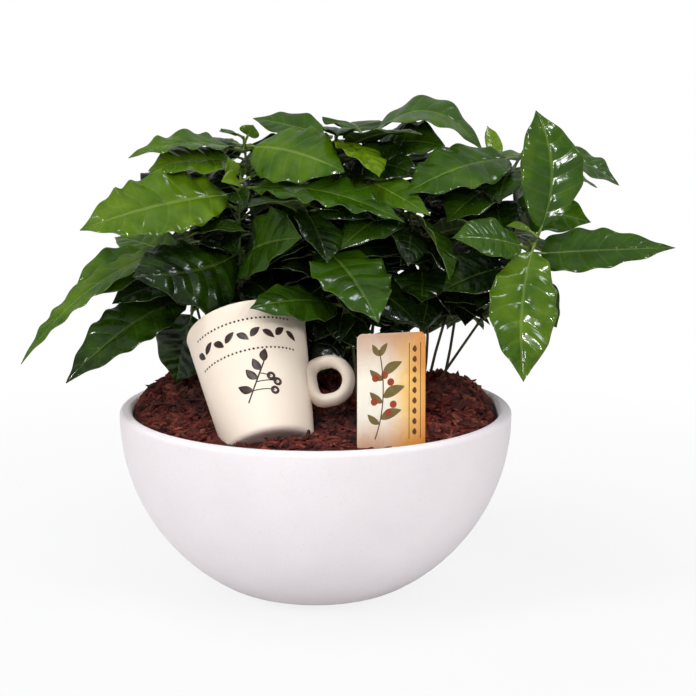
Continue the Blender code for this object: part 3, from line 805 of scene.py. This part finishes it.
# ------------------------------------------------------------------------------------------
# Stems: a dozen thin woody seedling stems, brown and dry at the foot and green near the top,
# with a swollen joint wherever a pair of leaves grows. Their skins are made last, round all joints.
STEM_FOOT_RADIUS = 1.1 * MM
STEM_TIP_RADIUS = 0.75 * MM
STEM_SIDES = 12
STEM_STEP = 3.2 * MM
JOINT_SWELL = 0.42
JOINT_SPREAD = 2.6 * MM
STEM_BROWN = (84, 70, 46)
STEM_GREEN = (74, 98, 30)
STEM_DARK = (44, 40, 22)

stem_skin, shader = new_finish("stem_bark", specular_ior_level=0.3)
ring_marks = grain(stem_skin, 190, 6, (1.0, 1.0, 2.6), 0.5)
spot = add_node(stem_skin, "TexCoord").outputs["Object"]
height = add_node(stem_skin, "SeparateXYZ", {0: spot}).outputs[2]
wander = sums(stem_skin, "ADD", height, ramp(stem_skin, ring_marks, -0.03, 0.03))
skin = mix(stem_skin, ramp(stem_skin, wander, 0, 1, 0.15, 0.24), srgb(STEM_BROWN), srgb(STEM_GREEN))
feed(
    stem_skin, shader,
    base_color=mix(stem_skin, ramp(stem_skin, ring_marks, 0.8, 0, 0.3, 0.52), skin, srgb(STEM_DARK)),
    roughness=ramp(stem_skin, ring_marks, 0.5, 0.75),
)
relief(stem_skin, shader, ring_marks, 0.6 * MM)


def follow(points, radii):
    """Frames for a tube's rings, each turned no more than its curve turns."""
    ends = [points[0] * 2 - points[1]] + points + [points[-1] * 2 - points[-2]]
    tangents = [(after - before).normalized() for before, after in zip(ends, ends[2:])]
    turn = tangents[0].to_track_quat("Z", "Y")
    frames = []
    for k, (point, radius) in enumerate(zip(points, radii)):
        if k:
            turn = tangents[k - 1].rotation_difference(tangents[k]) @ turn
        frames.append(
            Matrix.Translation(point) @ turn.to_matrix().to_4x4() @ Matrix.Diagonal((radius, radius, 1, 1))
        )
    return frames


class Stem:
    """A seedling's stem, whose middle line is read from the rings of its CAD rod."""

    def __init__(self, letter):
        self.letter = letter
        levels = {}
        for vert in nodes[f"stem_{letter}"].data.vertices:
            levels.setdefault(round(vert.co.z, 4), {})[(round(vert.co.x, 5), round(vert.co.y, 5))] = 1
        self.rings = []
        for level in sorted(levels):
            corners = list(levels[level])
            middle = [sum(c[axis] for c in corners) / len(corners) for axis in (0, 1)]
            self.rings.append(Vector((*middle, level)))
        self.foot, self.tip = self.rings[1].z, self.rings[-1].z
        self.joints = []
        self.inner = []

    def at(self, level):
        """The middle of the stem at a height."""
        pairs = zip(self.rings, self.rings[1:])
        low, high = next((pair for pair in pairs if level <= pair[1].z), self.rings[-2:])
        return low.lerp(high, (level - low.z) / (high.z - low.z))

    def radius(self, level):
        """Its radius at a height, with the swelling of its joints."""
        share = min(1.0, max(0.0, (level - self.foot) / (self.tip - self.foot)))
        plain = STEM_FOOT_RADIUS + (STEM_TIP_RADIUS - STEM_FOOT_RADIUS) * share
        swell = sum(math.exp(-(((level - joint) / JOINT_SPREAD) ** 2)) for joint in self.joints)
        return plain * (1 + JOINT_SWELL * min(1.0, swell))


stems = {name[-1]: Stem(name[-1]) for name in sorted(nodes) if name.startswith("stem_")}

# ------------------------------------------------------------------------------------------
# Leaves: thin leathery blades, glossy above and matte and paler beneath, quilted between
# seven pairs of sunken veins, with a wavy margin, a drip tip and a short stalk.
PETIOLE = 7 * MM
PETIOLE_RADIUS = 0.95 * MM
BLADE_THICKNESS = 0.45 * MM
DRIP_TIP = 0.35 * MM
VEIN_PAIRS = 7
VEIN_SWEEP = 0.14  # how far a vein runs forward on its way to the margin, in blade lengths
QUILT_DEPTH = 0.014  # of the blade's width
WAVE_LENGTH = 21 * MM  # along the margin
WAVE_DEPTH = 0.034
SCALLOP_DEPTH = 0.02
GROOVE_DEPTH = 0.014  # of the groove over the midrib
GROOVE_WIDTH = 0.08
MARGIN_DROOP = 0.03
FINE_GRID = (VEIN_PAIRS * 9, 22)
COARSE_GRID = (VEIN_PAIRS * 4, 8)
WIDEST_RING = 5
WIDEST_SHARE = 0.42
PLANT_MIDDLE = Vector((20, 60)) * MM
TAPER = 0.82  # below 1 a blade is widest nearer its base than its tip
TAPERS = {
    "f4": 0.53, "b2": 0.62, "a1": 0.88, "f1": 0.92, "a2": 0.95, "e1": 0.78, "f2": 0.98, "c1": 0.76,
    "c2": 0.7, "c3": 1.2, "i1": 0.8, "f3": 0.92, "g3": 1.15, "g4": 1.1, "k1": 1.3,
}
TONES = {  # from a dark leaf at 0 to a bright one at 1, set for each leaf partly by its age and partly as painted light and shade where it stands lit or shaded; the rest get a middling one
    "a1": 0.72, "a2": 0.08, "a3": 0.25, "a4": 0.42, "b1": 0.62, "b2": 0.58, "b3": 0.66, "c1": 0.14,
    "c2": 0.62, "c3": 0.52, "c4": 0.1, "c5": 0.1, "c6": 0.6, "d1": 0.88, "d2": 0.6, "d3": 0.42,
    "e1": 0.36, "e2": 0.3, "e3": 0.05, "f1": 0.62, "f2": 0.5, "f3": 0.42, "f4": 0.34, "f5": 0.1,
    "g1": 0.42, "g2": 0.2, "g3": 0.45, "g4": 0.4, "h1": 0.4, "h2": 0.1, "i1": 0.5, "i2": 0.35,
    "k1": 0.5,
}
QUILTED = {"f1": 2.2, "f2": 2.2, "a2": 2.2, "d1": 2.4, "d2": 1.5, "e1": 1.4, "i1": 0.7}
WAVY = {
    "a4": 1.6, "a1": 1.3, "b2": 1.4, "f1": 1.5, "f2": 1.6, "c4": 1.3, "e1": 1.2, "f4": 1.3, "g1": 1.3,
}
# LEAF_DARK serves both as the colour of old leaves and as painted shade for leaves deep inside the plant
LEAF_DARK = (8, 21, 3)
LEAF_GREEN = (50, 84, 6)
LEAF_YOUNG = (108, 138, 16)
LEAF_UNDER_DARK = (44, 64, 28)
LEAF_UNDER = (92, 114, 58)
RIB_PALE = (120, 142, 62)
STALK_GREEN = (70, 92, 34)
STALK_PALE = (128, 146, 60)
RIB_STEPS = 16
RIB_REACH = 0.92  # of the leaf's length
RIB_SIDES = 8


def leaf_nodes(material):
    """The tone of a leaf, and masks that are 1 on its lateral veins, its midrib and its margin."""
    tone = add_node(material, "Attribute", attribute_name="tone").outputs["Fac"]
    spot = add_node(material, "UVMap", uv_map="blade").outputs[0]
    cross = add_node(material, "SeparateXYZ", {0: spot}).outputs
    step = sums(material, "MULTIPLY", cross[0], float(VEIN_PAIRS))
    off_vein = add_node(material, "Math", {0: step, 1: 0.5}, operation="PINGPONG").outputs[0]
    veins = ramp(material, off_vein, 1, 0, 0.02, 0.1)
    from_rib = add_node(
        material, "Math", {0: sums(material, "SUBTRACT", cross[1], 0.5)}, operation="ABSOLUTE"
    ).outputs[0]
    rib = ramp(material, from_rib, 1, 0, 0.012, 0.03)
    # The margin mask carries a pale line that is partly the leaf's own paler edge and partly a painted rim
    # highlight
    margin = ramp(material, from_rib, 0, 1, 0.485, 0.5)
    return tone, veins, rib, margin


leaf_top, shader = new_finish("leaf_upper_side", specular_ior_level=0.3)
tone, veins, rib, margin = leaf_nodes(leaf_top)
cloud = grain(leaf_top, 45, 5)
fleck = grain(leaf_top, 500, 3)
tone = sums(leaf_top, "ADD", tone, ramp(leaf_top, cloud, -0.16, 0.16, 0.3, 0.7))
green = mix(leaf_top, ramp(leaf_top, tone, 0, 1, 0.0, 0.5), srgb(LEAF_DARK), srgb(LEAF_GREEN))
green = mix(leaf_top, ramp(leaf_top, tone, 0, 1, 0.5, 1.0), green, srgb(LEAF_YOUNG))
green = mix(leaf_top, ramp(leaf_top, fleck, 0, 0.2, 0.5, 0.75), green, srgb(LEAF_GREEN))
paling = ramp(leaf_top, tone, 0.12, 0.8, 0.05, 0.8)
# Veins and midrib are paled as the leaf's own colour; the margin's pale line is also a painted rim
# highlight
for mask, share in ((veins, 0.16), (rib, 0.8), (margin, 0.8)):
    pale = sums(leaf_top, "MULTIPLY", sums(leaf_top, "MULTIPLY", mask, share), paling)
    green = mix(leaf_top, pale, green, srgb(RIB_PALE))
feed(leaf_top, shader, base_color=green, roughness=ramp(leaf_top, fleck, 0.12, 0.24, 0.3, 0.7))
pores = sums(leaf_top, "MULTIPLY", fleck, 0.35)
sunken = sums(leaf_top, "MULTIPLY", veins, 0.6)
relief(leaf_top, shader, sums(leaf_top, "SUBTRACT", pores, sunken), 0.3 * MM)

leaf_under, shader = new_finish("leaf_underside", specular_ior_level=0.25)
tone, veins, _, _ = leaf_nodes(leaf_under)
pale = mix(leaf_under, tone, srgb(LEAF_UNDER_DARK), srgb(LEAF_UNDER))
pale = mix(leaf_under, sums(leaf_under, "MULTIPLY", veins, 0.45), pale, srgb(RIB_PALE))
down = grain(leaf_under, 600, 3)
feed(
    leaf_under, shader,
    base_color=mix(leaf_under, ramp(leaf_under, down, 0, 0.3), pale, srgb(LEAF_UNDER)),
    roughness=ramp(leaf_under, down, 0.45, 0.6),
)
raised = sums(leaf_under, "ADD", sums(leaf_under, "MULTIPLY", down, 0.3), veins)
relief(leaf_under, shader, raised, 0.3 * MM)

stalk_green, shader = new_finish("leaf_stalk", specular_ior_level=0.35)
tone = add_node(stalk_green, "Attribute", attribute_name="tone").outputs["Fac"]
streak = grain(stalk_green, 300, 4)
feed(
    stalk_green, shader,
    base_color=mix(
        stalk_green, ramp(stalk_green, streak, 0, 0.5),
        mix(stalk_green, tone, srgb(STALK_GREEN), srgb(STALK_PALE)), srgb(RIB_PALE),
    ),
    roughness=ramp(stalk_green, streak, 0.35, 0.5),
)
relief(stalk_green, shader, streak, 0.2 * MM)
leaf_finishes = [leaf_top, leaf_under, stalk_green]


def outline(share, taper):
    """Half width of a blade, as a share of its greatest: an ellipse that narrows to a drip tip."""
    if not 0 < share < 1:
        return 0.0
    step = min(1.0, max(0.0, (share - 0.82) / 0.14))
    drip = 1 - 0.2 * step * step * (3 - 2 * step)
    return drip * math.sin(math.pi * share**taper) ** (0.64 + 0.26 * share)


class Leaf:
    """A leaf as a surface: its chord from stalk to tip, its bows, its waves and its quilting."""

    def __init__(self, base, tip, face, width, bows, seed):
        chord = tip - base
        self.base, self.tip, self.width = base, tip, width
        self.length = chord.length
        self.along = chord.normalized()
        self.up = (face - self.along * face.dot(self.along)).normalized()
        self.across = self.along.cross(self.up)
        self.arch, self.fold, self.bend = bows
        self.taper = TAPER
        self.stalk = PETIOLE / self.length
        luck = random.Random(seed)
        self.seed = luck.uniform(0, 100)
        self.waves = self.length / WAVE_LENGTH * luck.uniform(0.85, 1.15)
        self.phases = (luck.uniform(0, math.tau), luck.uniform(0, math.tau))
        self.twist = luck.uniform(-0.2, 0.2)
        self.quilt_depth = QUILT_DEPTH * luck.uniform(0.7, 1.4)
        self.wave_depth = luck.uniform(0.8, 1.25) * WAVE_DEPTH
        self.tone = luck.triangular(0, 0.34, 0.06)

    def spine(self, place):
        """A point of the midrib, at a share of the whole length."""
        bow = self.length * 4 * place * (1 - place)
        middle = self.base + self.along * (place * self.length)
        return middle + self.up * (self.arch * bow) + self.across * (self.bend * bow)

    def normal(self, place):
        """The way the upper side faces there."""
        return (self.up - self.along * (self.arch * 4 * (1 - 2 * place))).normalized()

    def point(self, row, side):
        """A point of the blade: row runs from 0 to 1 along the veins' feet, side from -1 to 1."""
        reach = abs(side)
        share = row + VEIN_SWEEP * reach**1.4 * 4 * row * (1 - row)
        place = self.stalk + (1 - self.stalk) * share
        body = outline(share, self.taper)
        drift = noise.noise(Vector((share * 4, side, self.seed)))
        swing = math.tau * self.waves * (share + 0.06 * drift) + self.phases[side > 0]
        half = max(self.width / 2 * body * (1 + SCALLOP_DEPTH * math.sin(swing + 1.3)), DRIP_TIP)
        wave = self.wave_depth * (math.sin(swing) + 1.1 * drift) * reach**2.6
        quilt = self.quilt_depth * math.sin(math.pi * VEIN_PAIRS * row) ** 2
        quilt *= min(1.0, reach / 0.15) * (1 - reach**4)
        groove = GROOVE_DEPTH * math.exp(-((reach / GROOVE_WIDTH) ** 2))
        rise = self.fold * half * reach**1.3 - MARGIN_DROOP * half * reach**4
        rise += self.width * min(1.0, 1.6 * body) * (wave + quilt - groove)
        up = self.normal(place)
        lean = self.twist * (share - 0.35)
        across = self.across * math.cos(lean) + up * math.sin(lean)
        return self.spine(place) + across * (side * half) + up * rise

    def build(self, grid):
        """The leaf's bmesh: a blade of two sides and the stalk, which runs on as its midrib."""
        rows, columns = grid
        maker = bmesh.new()
        maker.loops.layers.uv.new("blade")
        bmesh.ops.create_grid(maker, x_segments=rows, y_segments=columns, size=0.5, calc_uvs=True)
        for vert in maker.verts:
            vert.co = self.point(vert.co.x + 0.5, vert.co.y * 2)
        maker.normal_update()
        if maker.faces[:][len(maker.faces) // 2].normal.dot(self.up) < 0:
            bmesh.ops.reverse_faces(maker, faces=maker.faces)
            maker.normal_update()
        tops = maker.faces[:]
        below = bmesh.ops.extrude_face_region(maker, geom=tops, use_keep_orig=True)["geom"]
        for vert in only(bmesh.types.BMVert, below):
            vert.co -= vert.normal * BLADE_THICKNESS
        for face in maker.faces:
            face.material_index = 1
        for face in tops:
            face.material_index = 0
        bmesh.ops.recalc_face_normals(maker, faces=maker.faces)

        rib = bmesh.new()
        rib.loops.layers.uv.new("blade")
        points, radii = [], []
        for k in range(RIB_STEPS + 1):
            place = RIB_REACH * k / RIB_STEPS
            share = max(0.0, (place - self.stalk) / (1 - self.stalk))
            radius = PETIOLE_RADIUS * (1 - 0.72 * share) * (1 + 0.5 * max(0.0, 1 - place * 30))
            surface = self.point(share, 0) if share > 0 else self.spine(place)
            sink = BLADE_THICKNESS * min(1.0, share * 40) + radius * 0.35 * min(1.0, share * 20)
            points.append(surface - self.normal(place) * sink)
            radii.append(radius)
        sweep_ring(rib, follow(points, radii), RIB_SIDES)
        for face in rib.faces:
            face.material_index = 2
        whole = gathered([maker, rib])
        tones = whole.verts.layers.float.new("tone")
        for vert in whole.verts:
            vert[tones] = self.tone
        return whole


def leaf_of(name):
    """A CAD leaf read back from its rings of four corners, from its joint to its tip."""
    stem = stems[name[5]]
    maker = bmesh.new()
    maker.from_mesh(nodes[name].data)
    bmesh.ops.remove_doubles(maker, verts=maker.verts, dist=0.02 * MM)
    maker.verts.index_update()
    narrow = [
        vert for vert in maker.verts
        if sorted((other.co - vert.co).length for other in maker.verts)[3] < 2.5 * MM
    ]
    nearest = min(narrow, key=lambda v: (stem.at(v.co.z) - v.co).length)
    ring = set(sorted(maker.verts, key=lambda v: (v.co - nearest.co).length)[:4])
    seen = set(ring)
    rings = []
    while ring:
        rings.append([vert.co.copy() for vert in sorted(ring, key=lambda v: v.index)])
        ring = {edge.other_vert(vert) for vert in ring for edge in vert.link_edges} - seen
        seen |= ring
    maker.free()
    base = sum(rings[0], Vector()) / 4
    tip = sum(rings[-1], Vector()) / 4
    chord = tip - base
    along = chord.normalized()
    widest = rings[WIDEST_RING]
    left, right = max(combinations(widest, 2), key=lambda pair: (pair[0] - pair[1]).length)
    upper, lower = [corner for corner in widest if corner is not left and corner is not right]
    middle = (upper + lower) / 2
    normal = (upper - lower).normalized()
    outward = (middle - PLANT_MIDDLE.to_3d()).xy.normalized().to_3d() + Vector((0, 0, 1))
    if normal.dot(outward) < 0:
        normal.negate()
    up = (normal - along * normal.dot(along)).normalized()
    stalk = PETIOLE / chord.length
    place = stalk + (1 - stalk) * WIDEST_SHARE
    bow = chord.length * 4 * place * (1 - place)
    off = middle - base - chord * place
    half = (left - right).length / 2
    fold = ((left + right) / 2 - middle).dot(normal) / half
    bows = (off.dot(up) / bow, fold, off.dot(along.cross(up)) / bow)
    taper = TAPERS.get(name[5:], TAPER)
    leaf = Leaf(base, tip, up, 2 * half / outline(WIDEST_SHARE, taper), bows, name)
    leaf.taper = taper
    leaf.tone = TONES.get(name[5:], leaf.tone)
    leaf.quilt_depth *= QUILTED.get(name[5:], 1.0)
    leaf.wave_depth *= WAVY.get(name[5:], 1.0)
    stem.joints.append(base.z)
    return leaf


leaves = {name: leaf_of(name) for name in sorted(nodes) if name.startswith("leaf_")}
for name, leaf in leaves.items():
    finished(f"{name}_blade", leaf.build(FINE_GRID), leaf_finishes, [name])

# ------------------------------------------------------------------------------------------
# Inner leaves: the pairs that fill the plant behind its outer leaves, each pair a quarter turn
# from the last, and the young shoots at the tips. One that is found to touch another is left out.
PAIR_STEP = 11 * MM
LOWEST_PAIR = 165 * MM
INNER_LENGTH = (46, 88)
INNER_SLENDERNESS = (0.42, 0.55)
NEAR_MISS = 1.0 * MM
GAP_SEED = 5
GAP_TRIES = 1800  # of more leaves, wherever there is still room
BACKWARDS = Vector((0, 0.975, -0.22))
VEIL = 90 * MM  # an inner leaf keeps this far from standing before an outer one
VEILED_POINTS = 2  # of its points that may stand there all the same
SOLID_CLEARANCE = 4 * MM
STEM_CLEARANCE = 3 * MM
SHOOTS = 4
SHOOT_LENGTH = (17, 32)
SHOOT_TRIES = 8
PAIR_TRIES = 20
GAP_LEAF_TRIES = 9
TEST_ROWS = 9
TEST_SIDES = (-1, -0.5, 0, 0.5, 1)
CROWN_SIDES = (-118, 154)
CROWN_DEPTH = (-64, 196)
CROWN_TOP = 338
CROWN_FLAT = 80  # half width of the level part of its top
CROWN_SLOPE = 0.3  # on either side of that
TOP_FALL = 0.227  # how fast its top and its hem fall towards the back
HEM_FALL = 0.225
HEM = ((-60, 205), (42, 152), (86, 186), (math.inf, 191))  # up to each x, its lower edge's height
PLACED = (  # leaves that show: stem, level, tip, face, width, bows, share of stalk and tone, whose low values are partly painted shade
    ("g", 285, (125, 62, 329), (0.1, -1, 0.2), 12, (0.03, 0.3, 0.03), 0.45, 1.0),
    ("a", 290, (-66, -6, 296), (0.5, -0.6, 0.6), 14, (0.12, 0.5, 0), 0.12, 0.95),
    ("a", 291, (-62, 10, 311), (0.3, -0.9, 0.2), 12, (0.1, 0.3, -0.1), 0.12, 0.9),
    ("b", 318, (-45, 33, 332), (0.1, -1, 0.3), 15, (0.05, 0.2, 0), 0.1, 0.6),
    ("i", 310, (92, 26, 318), (0, -0.6, 0.8), 44, (0.12, 0.1, 0), 0.1, 0.2),
    ("d", 306, (74, 6, 299), (0.1, -0.8, 0.6), 36, (0.1, 0.1, 0), 0.1, 0.15),
    ("g", 303, (128, -8, 282), (-0.4, -0.8, 0.5), 38, (0.1, 0.1, 0), 0.1, 0.15),
    ("g", 280, (132, -14, 252), (-0.3, -0.8, 0.5), 34, (0.1, 0.1, 0), 0.1, 0.1),
    ("c", 212, (-68, 44, 186), (0.1, -0.8, 0.5), 30, (0.1, 0.1, 0), 0.1, 0.1),
    ("g", 294, (152, 70, 262), (0, -0.7, 0.6), 34, (0.1, 0.1, 0), 0.1, 0.1),
    ("l", 288, (-62, 112, 290), (0, -0.6, 0.8), 44, (0.1, 0.1, 0), 0.1, 0.1),
    ("l", 268, (-62, 112, 264), (0, -0.6, 0.8), 44, (0.1, 0.1, 0), 0.1, 0.1),
    ("l", 248, (-60, 112, 240), (0, -0.6, 0.8), 44, (0.1, 0.1, 0), 0.1, 0.1),
)


def test_points(leaf, first_row=1):
    """A few points spread over a leaf's blade, for testing what it touches."""
    rows = range(first_row, TEST_ROWS + 1)
    return [leaf.point(row / TEST_ROWS, side) for row in rows for side in TEST_SIDES]


def leaf_tree(leaf):
    """A search tree of a leaf's blade, coarsely drawn."""
    count = len(TEST_SIDES)
    quads = [
        (k, k + 1, k + 1 + count, k + count)
        for k in range(TEST_ROWS * count) if k % count < count - 1
    ]
    return BVHTree.FromPolygons(test_points(leaf, 0), quads)


def inside_plant(point):
    """Whether an inner leaf may reach a point: under the plant's crown and above its stems."""
    x, y, z = (value / MM for value in point)
    if not (CROWN_SIDES[0] <= x <= CROWN_SIDES[1] and CROWN_DEPTH[0] <= y <= CROWN_DEPTH[1]):
        return False
    if z + TOP_FALL * y > CROWN_TOP - CROWN_SLOPE * max(0, abs(x) - CROWN_FLAT):
        return False
    return z + HEM_FALL * y > next(low for edge, low in HEM if x < edge)


occupied = [(leaf_tree(leaf), leaf) for leaf in leaves.values()]
outer_trees = [tree for tree, leaf in occupied if leaf.tip.y < 60 * MM]


def is_free(leaf, own):
    """Whether a leaf is clear of everything placed so far."""
    points = test_points(leaf)
    if not all(inside_plant(point) for point in points):
        return False
    if any(tree.find_nearest(point, SOLID_CLEARANCE)[0] for tree in kept_clear for point in points):
        return False
    mine = leaf_tree(leaf)
    for tree, other in occupied:
        if (other.base - leaf.base).length > other.length + leaf.length:
            continue
        if mine.overlap(tree):
            return False
        if any(tree.find_nearest(point, NEAR_MISS)[0] for point in points[len(TEST_SIDES):]):
            return False
    for stem in stems.values():
        if stem is own:
            continue
        for point in points:
            if point.z < stem.tip and (stem.at(point.z) - point).length < STEM_CLEARANCE:
                return False
    veiled = sum(
        1 for tree in outer_trees for point in points if tree.ray_cast(point, BACKWARDS, VEIL)[0]
    )
    if veiled > VEILED_POINTS:
        return False
    occupied.append((mine, leaf))
    return True


def inner_leaf(stem, level, heading, shrink, luck, seed):
    """A leaf that a stem might carry at a height, hanging lower the lower it grows, and given a dark tone
    as painted shade for the plant's inside.
    """
    drop = (stem.tip - level) / (stem.tip - LOWEST_PAIR)
    length = luck.uniform(*INNER_LENGTH) * shrink * MM
    climb = luck.gauss(0.12 - 0.9 * drop, 0.3)
    way = Vector((math.cos(heading), math.sin(heading), 0))
    base = stem.at(level) + way * (stem.radius(level) + 0.4 * MM)
    tip = base + (way * math.cos(climb) + Vector((0, 0, math.sin(climb)))) * length
    outwards = (base.xy - PLANT_MIDDLE).normalized().to_3d()
    skyward = Vector((luck.gauss(0, 0.2), luck.gauss(0, 0.2), 1))
    face = skyward + way * 0.3 + outwards * (0.4 + 0.5 * drop)
    bows = (luck.uniform(0.07, 0.16), luck.uniform(-0.1, 0.25), luck.gauss(0, 0.03))
    leaf = Leaf(base, tip, face, length * luck.uniform(*INNER_SLENDERNESS), bows, seed)
    # Painted shade: inner leaves are pushed dark and are lighter only near the tip, where the young leaves
    # grow
    leaf.tone = 0.3 * leaf.tone + 0.25 * max(0.0, 1 - 4 * drop) - 0.1
    return leaf


def grow(stem, level, heading, attempts, luck):
    """Tries a few leaves at a joint, and keeps the first that finds room."""
    for attempt in range(attempts):
        seed = f"{stem.letter}{len(stem.inner)}{attempt}{level:.4f}"
        swing = luck.gauss(0, 0.12 + 0.07 * attempt)
        leaf = inner_leaf(stem, level, heading + swing, max(0.5, 1 - 0.04 * attempt), luck, seed)
        if is_free(leaf, stem):
            stem.inner.append(leaf)
            if all(abs(level - joint) > STEM_CLEARANCE for joint in stem.joints):
                stem.joints.append(level)
            return


for number, (letter, level, tip, face, width, bows, stalk, tone) in enumerate(PLACED):
    stem = stems[letter]
    way = (Vector(tip) * MM - stem.at(level * MM)).normalized()
    base = stem.at(level * MM) + way * (stem.radius(level * MM) + 0.3 * MM)
    leaf = Leaf(base, Vector(tip) * MM, Vector(face), width * MM, bows, f"placed{number}")
    leaf.stalk, leaf.tone = max(stalk, leaf.stalk), tone
    mine = leaf_tree(leaf)
    if any(mine.overlap(tree) for tree, _ in occupied):
        continue
    occupied.append((mine, leaf))
    stem.inner.append(leaf)
    stem.joints.append(level * MM)
for number, stem in enumerate(stems.values()):
    luck = random.Random(number)
    for shoot in range(SHOOTS):
        heading = shoot * math.tau / SHOOTS + number
        for attempt in range(SHOOT_TRIES):
            heading += luck.gauss(0, 0.15 * attempt)
            climb = luck.uniform(0.1, 0.9)
            aside = math.cos(climb)
            way = Vector((math.cos(heading) * aside, math.sin(heading) * aside, math.sin(climb)))
            length = luck.uniform(*SHOOT_LENGTH) * MM
            base = stem.rings[-1] + way * 0.5 * MM
            face = Vector((0, 0, 1)) - Vector((way.x, way.y, 0)) * 0.6 - BACKWARDS * 0.5
            bows = (luck.uniform(0.0, 0.12), luck.uniform(0.1, 0.4), 0)
            seed = f"shoot{number}{shoot}{attempt}"
            leaf = Leaf(base, base + way * length, face, length * 0.4, bows, seed)
            leaf.tone = luck.uniform(0.2, 0.7)
            if is_free(leaf, stem):
                stem.inner.append(leaf)
                break
for number, stem in enumerate(stems.values()):
    luck = random.Random(number)
    quarter = luck.uniform(0, math.tau)
    level = stem.tip - 6 * MM
    while level > LOWEST_PAIR:
        for half_turn in (0, math.pi):
            grow(stem, level, quarter + half_turn, PAIR_TRIES, luck)
        quarter += math.pi / 2
        level -= PAIR_STEP * luck.uniform(0.85, 1.2)
luck = random.Random(GAP_SEED)
for _ in range(GAP_TRIES):
    stem = luck.choice(list(stems.values()))
    level = luck.uniform(LOWEST_PAIR, stem.tip - 8 * MM)
    grow(stem, level, luck.uniform(0, math.tau), GAP_LEAF_TRIES, luck)
for stem in stems.values():
    pairs = gathered([leaf.build(COARSE_GRID) for leaf in stem.inner])
    finished(f"inner_leaves_{stem.letter}", pairs, leaf_finishes)

# ------------------------------------------------------------------------------------------
# Stem skins: the bark of each stem, drawn over its rod from the root to the tip. It comes after
# the leaves, because it swells into a joint wherever one grows.
for stem in stems.values():
    root = stem.rings[0].z
    steps = round((stem.tip - root) / STEM_STEP)
    levels = [root + (stem.tip - root) * k / steps for k in range(steps + 1)]
    line = follow([stem.at(z) for z in levels], [stem.radius(z) for z in levels])
    stem_maker = bmesh.new()
    sweep_ring(stem_maker, line, STEM_SIDES)
    name = f"stem_{stem.letter}"
    finished(f"{name}_skin", stem_maker, [stem_skin], [name])
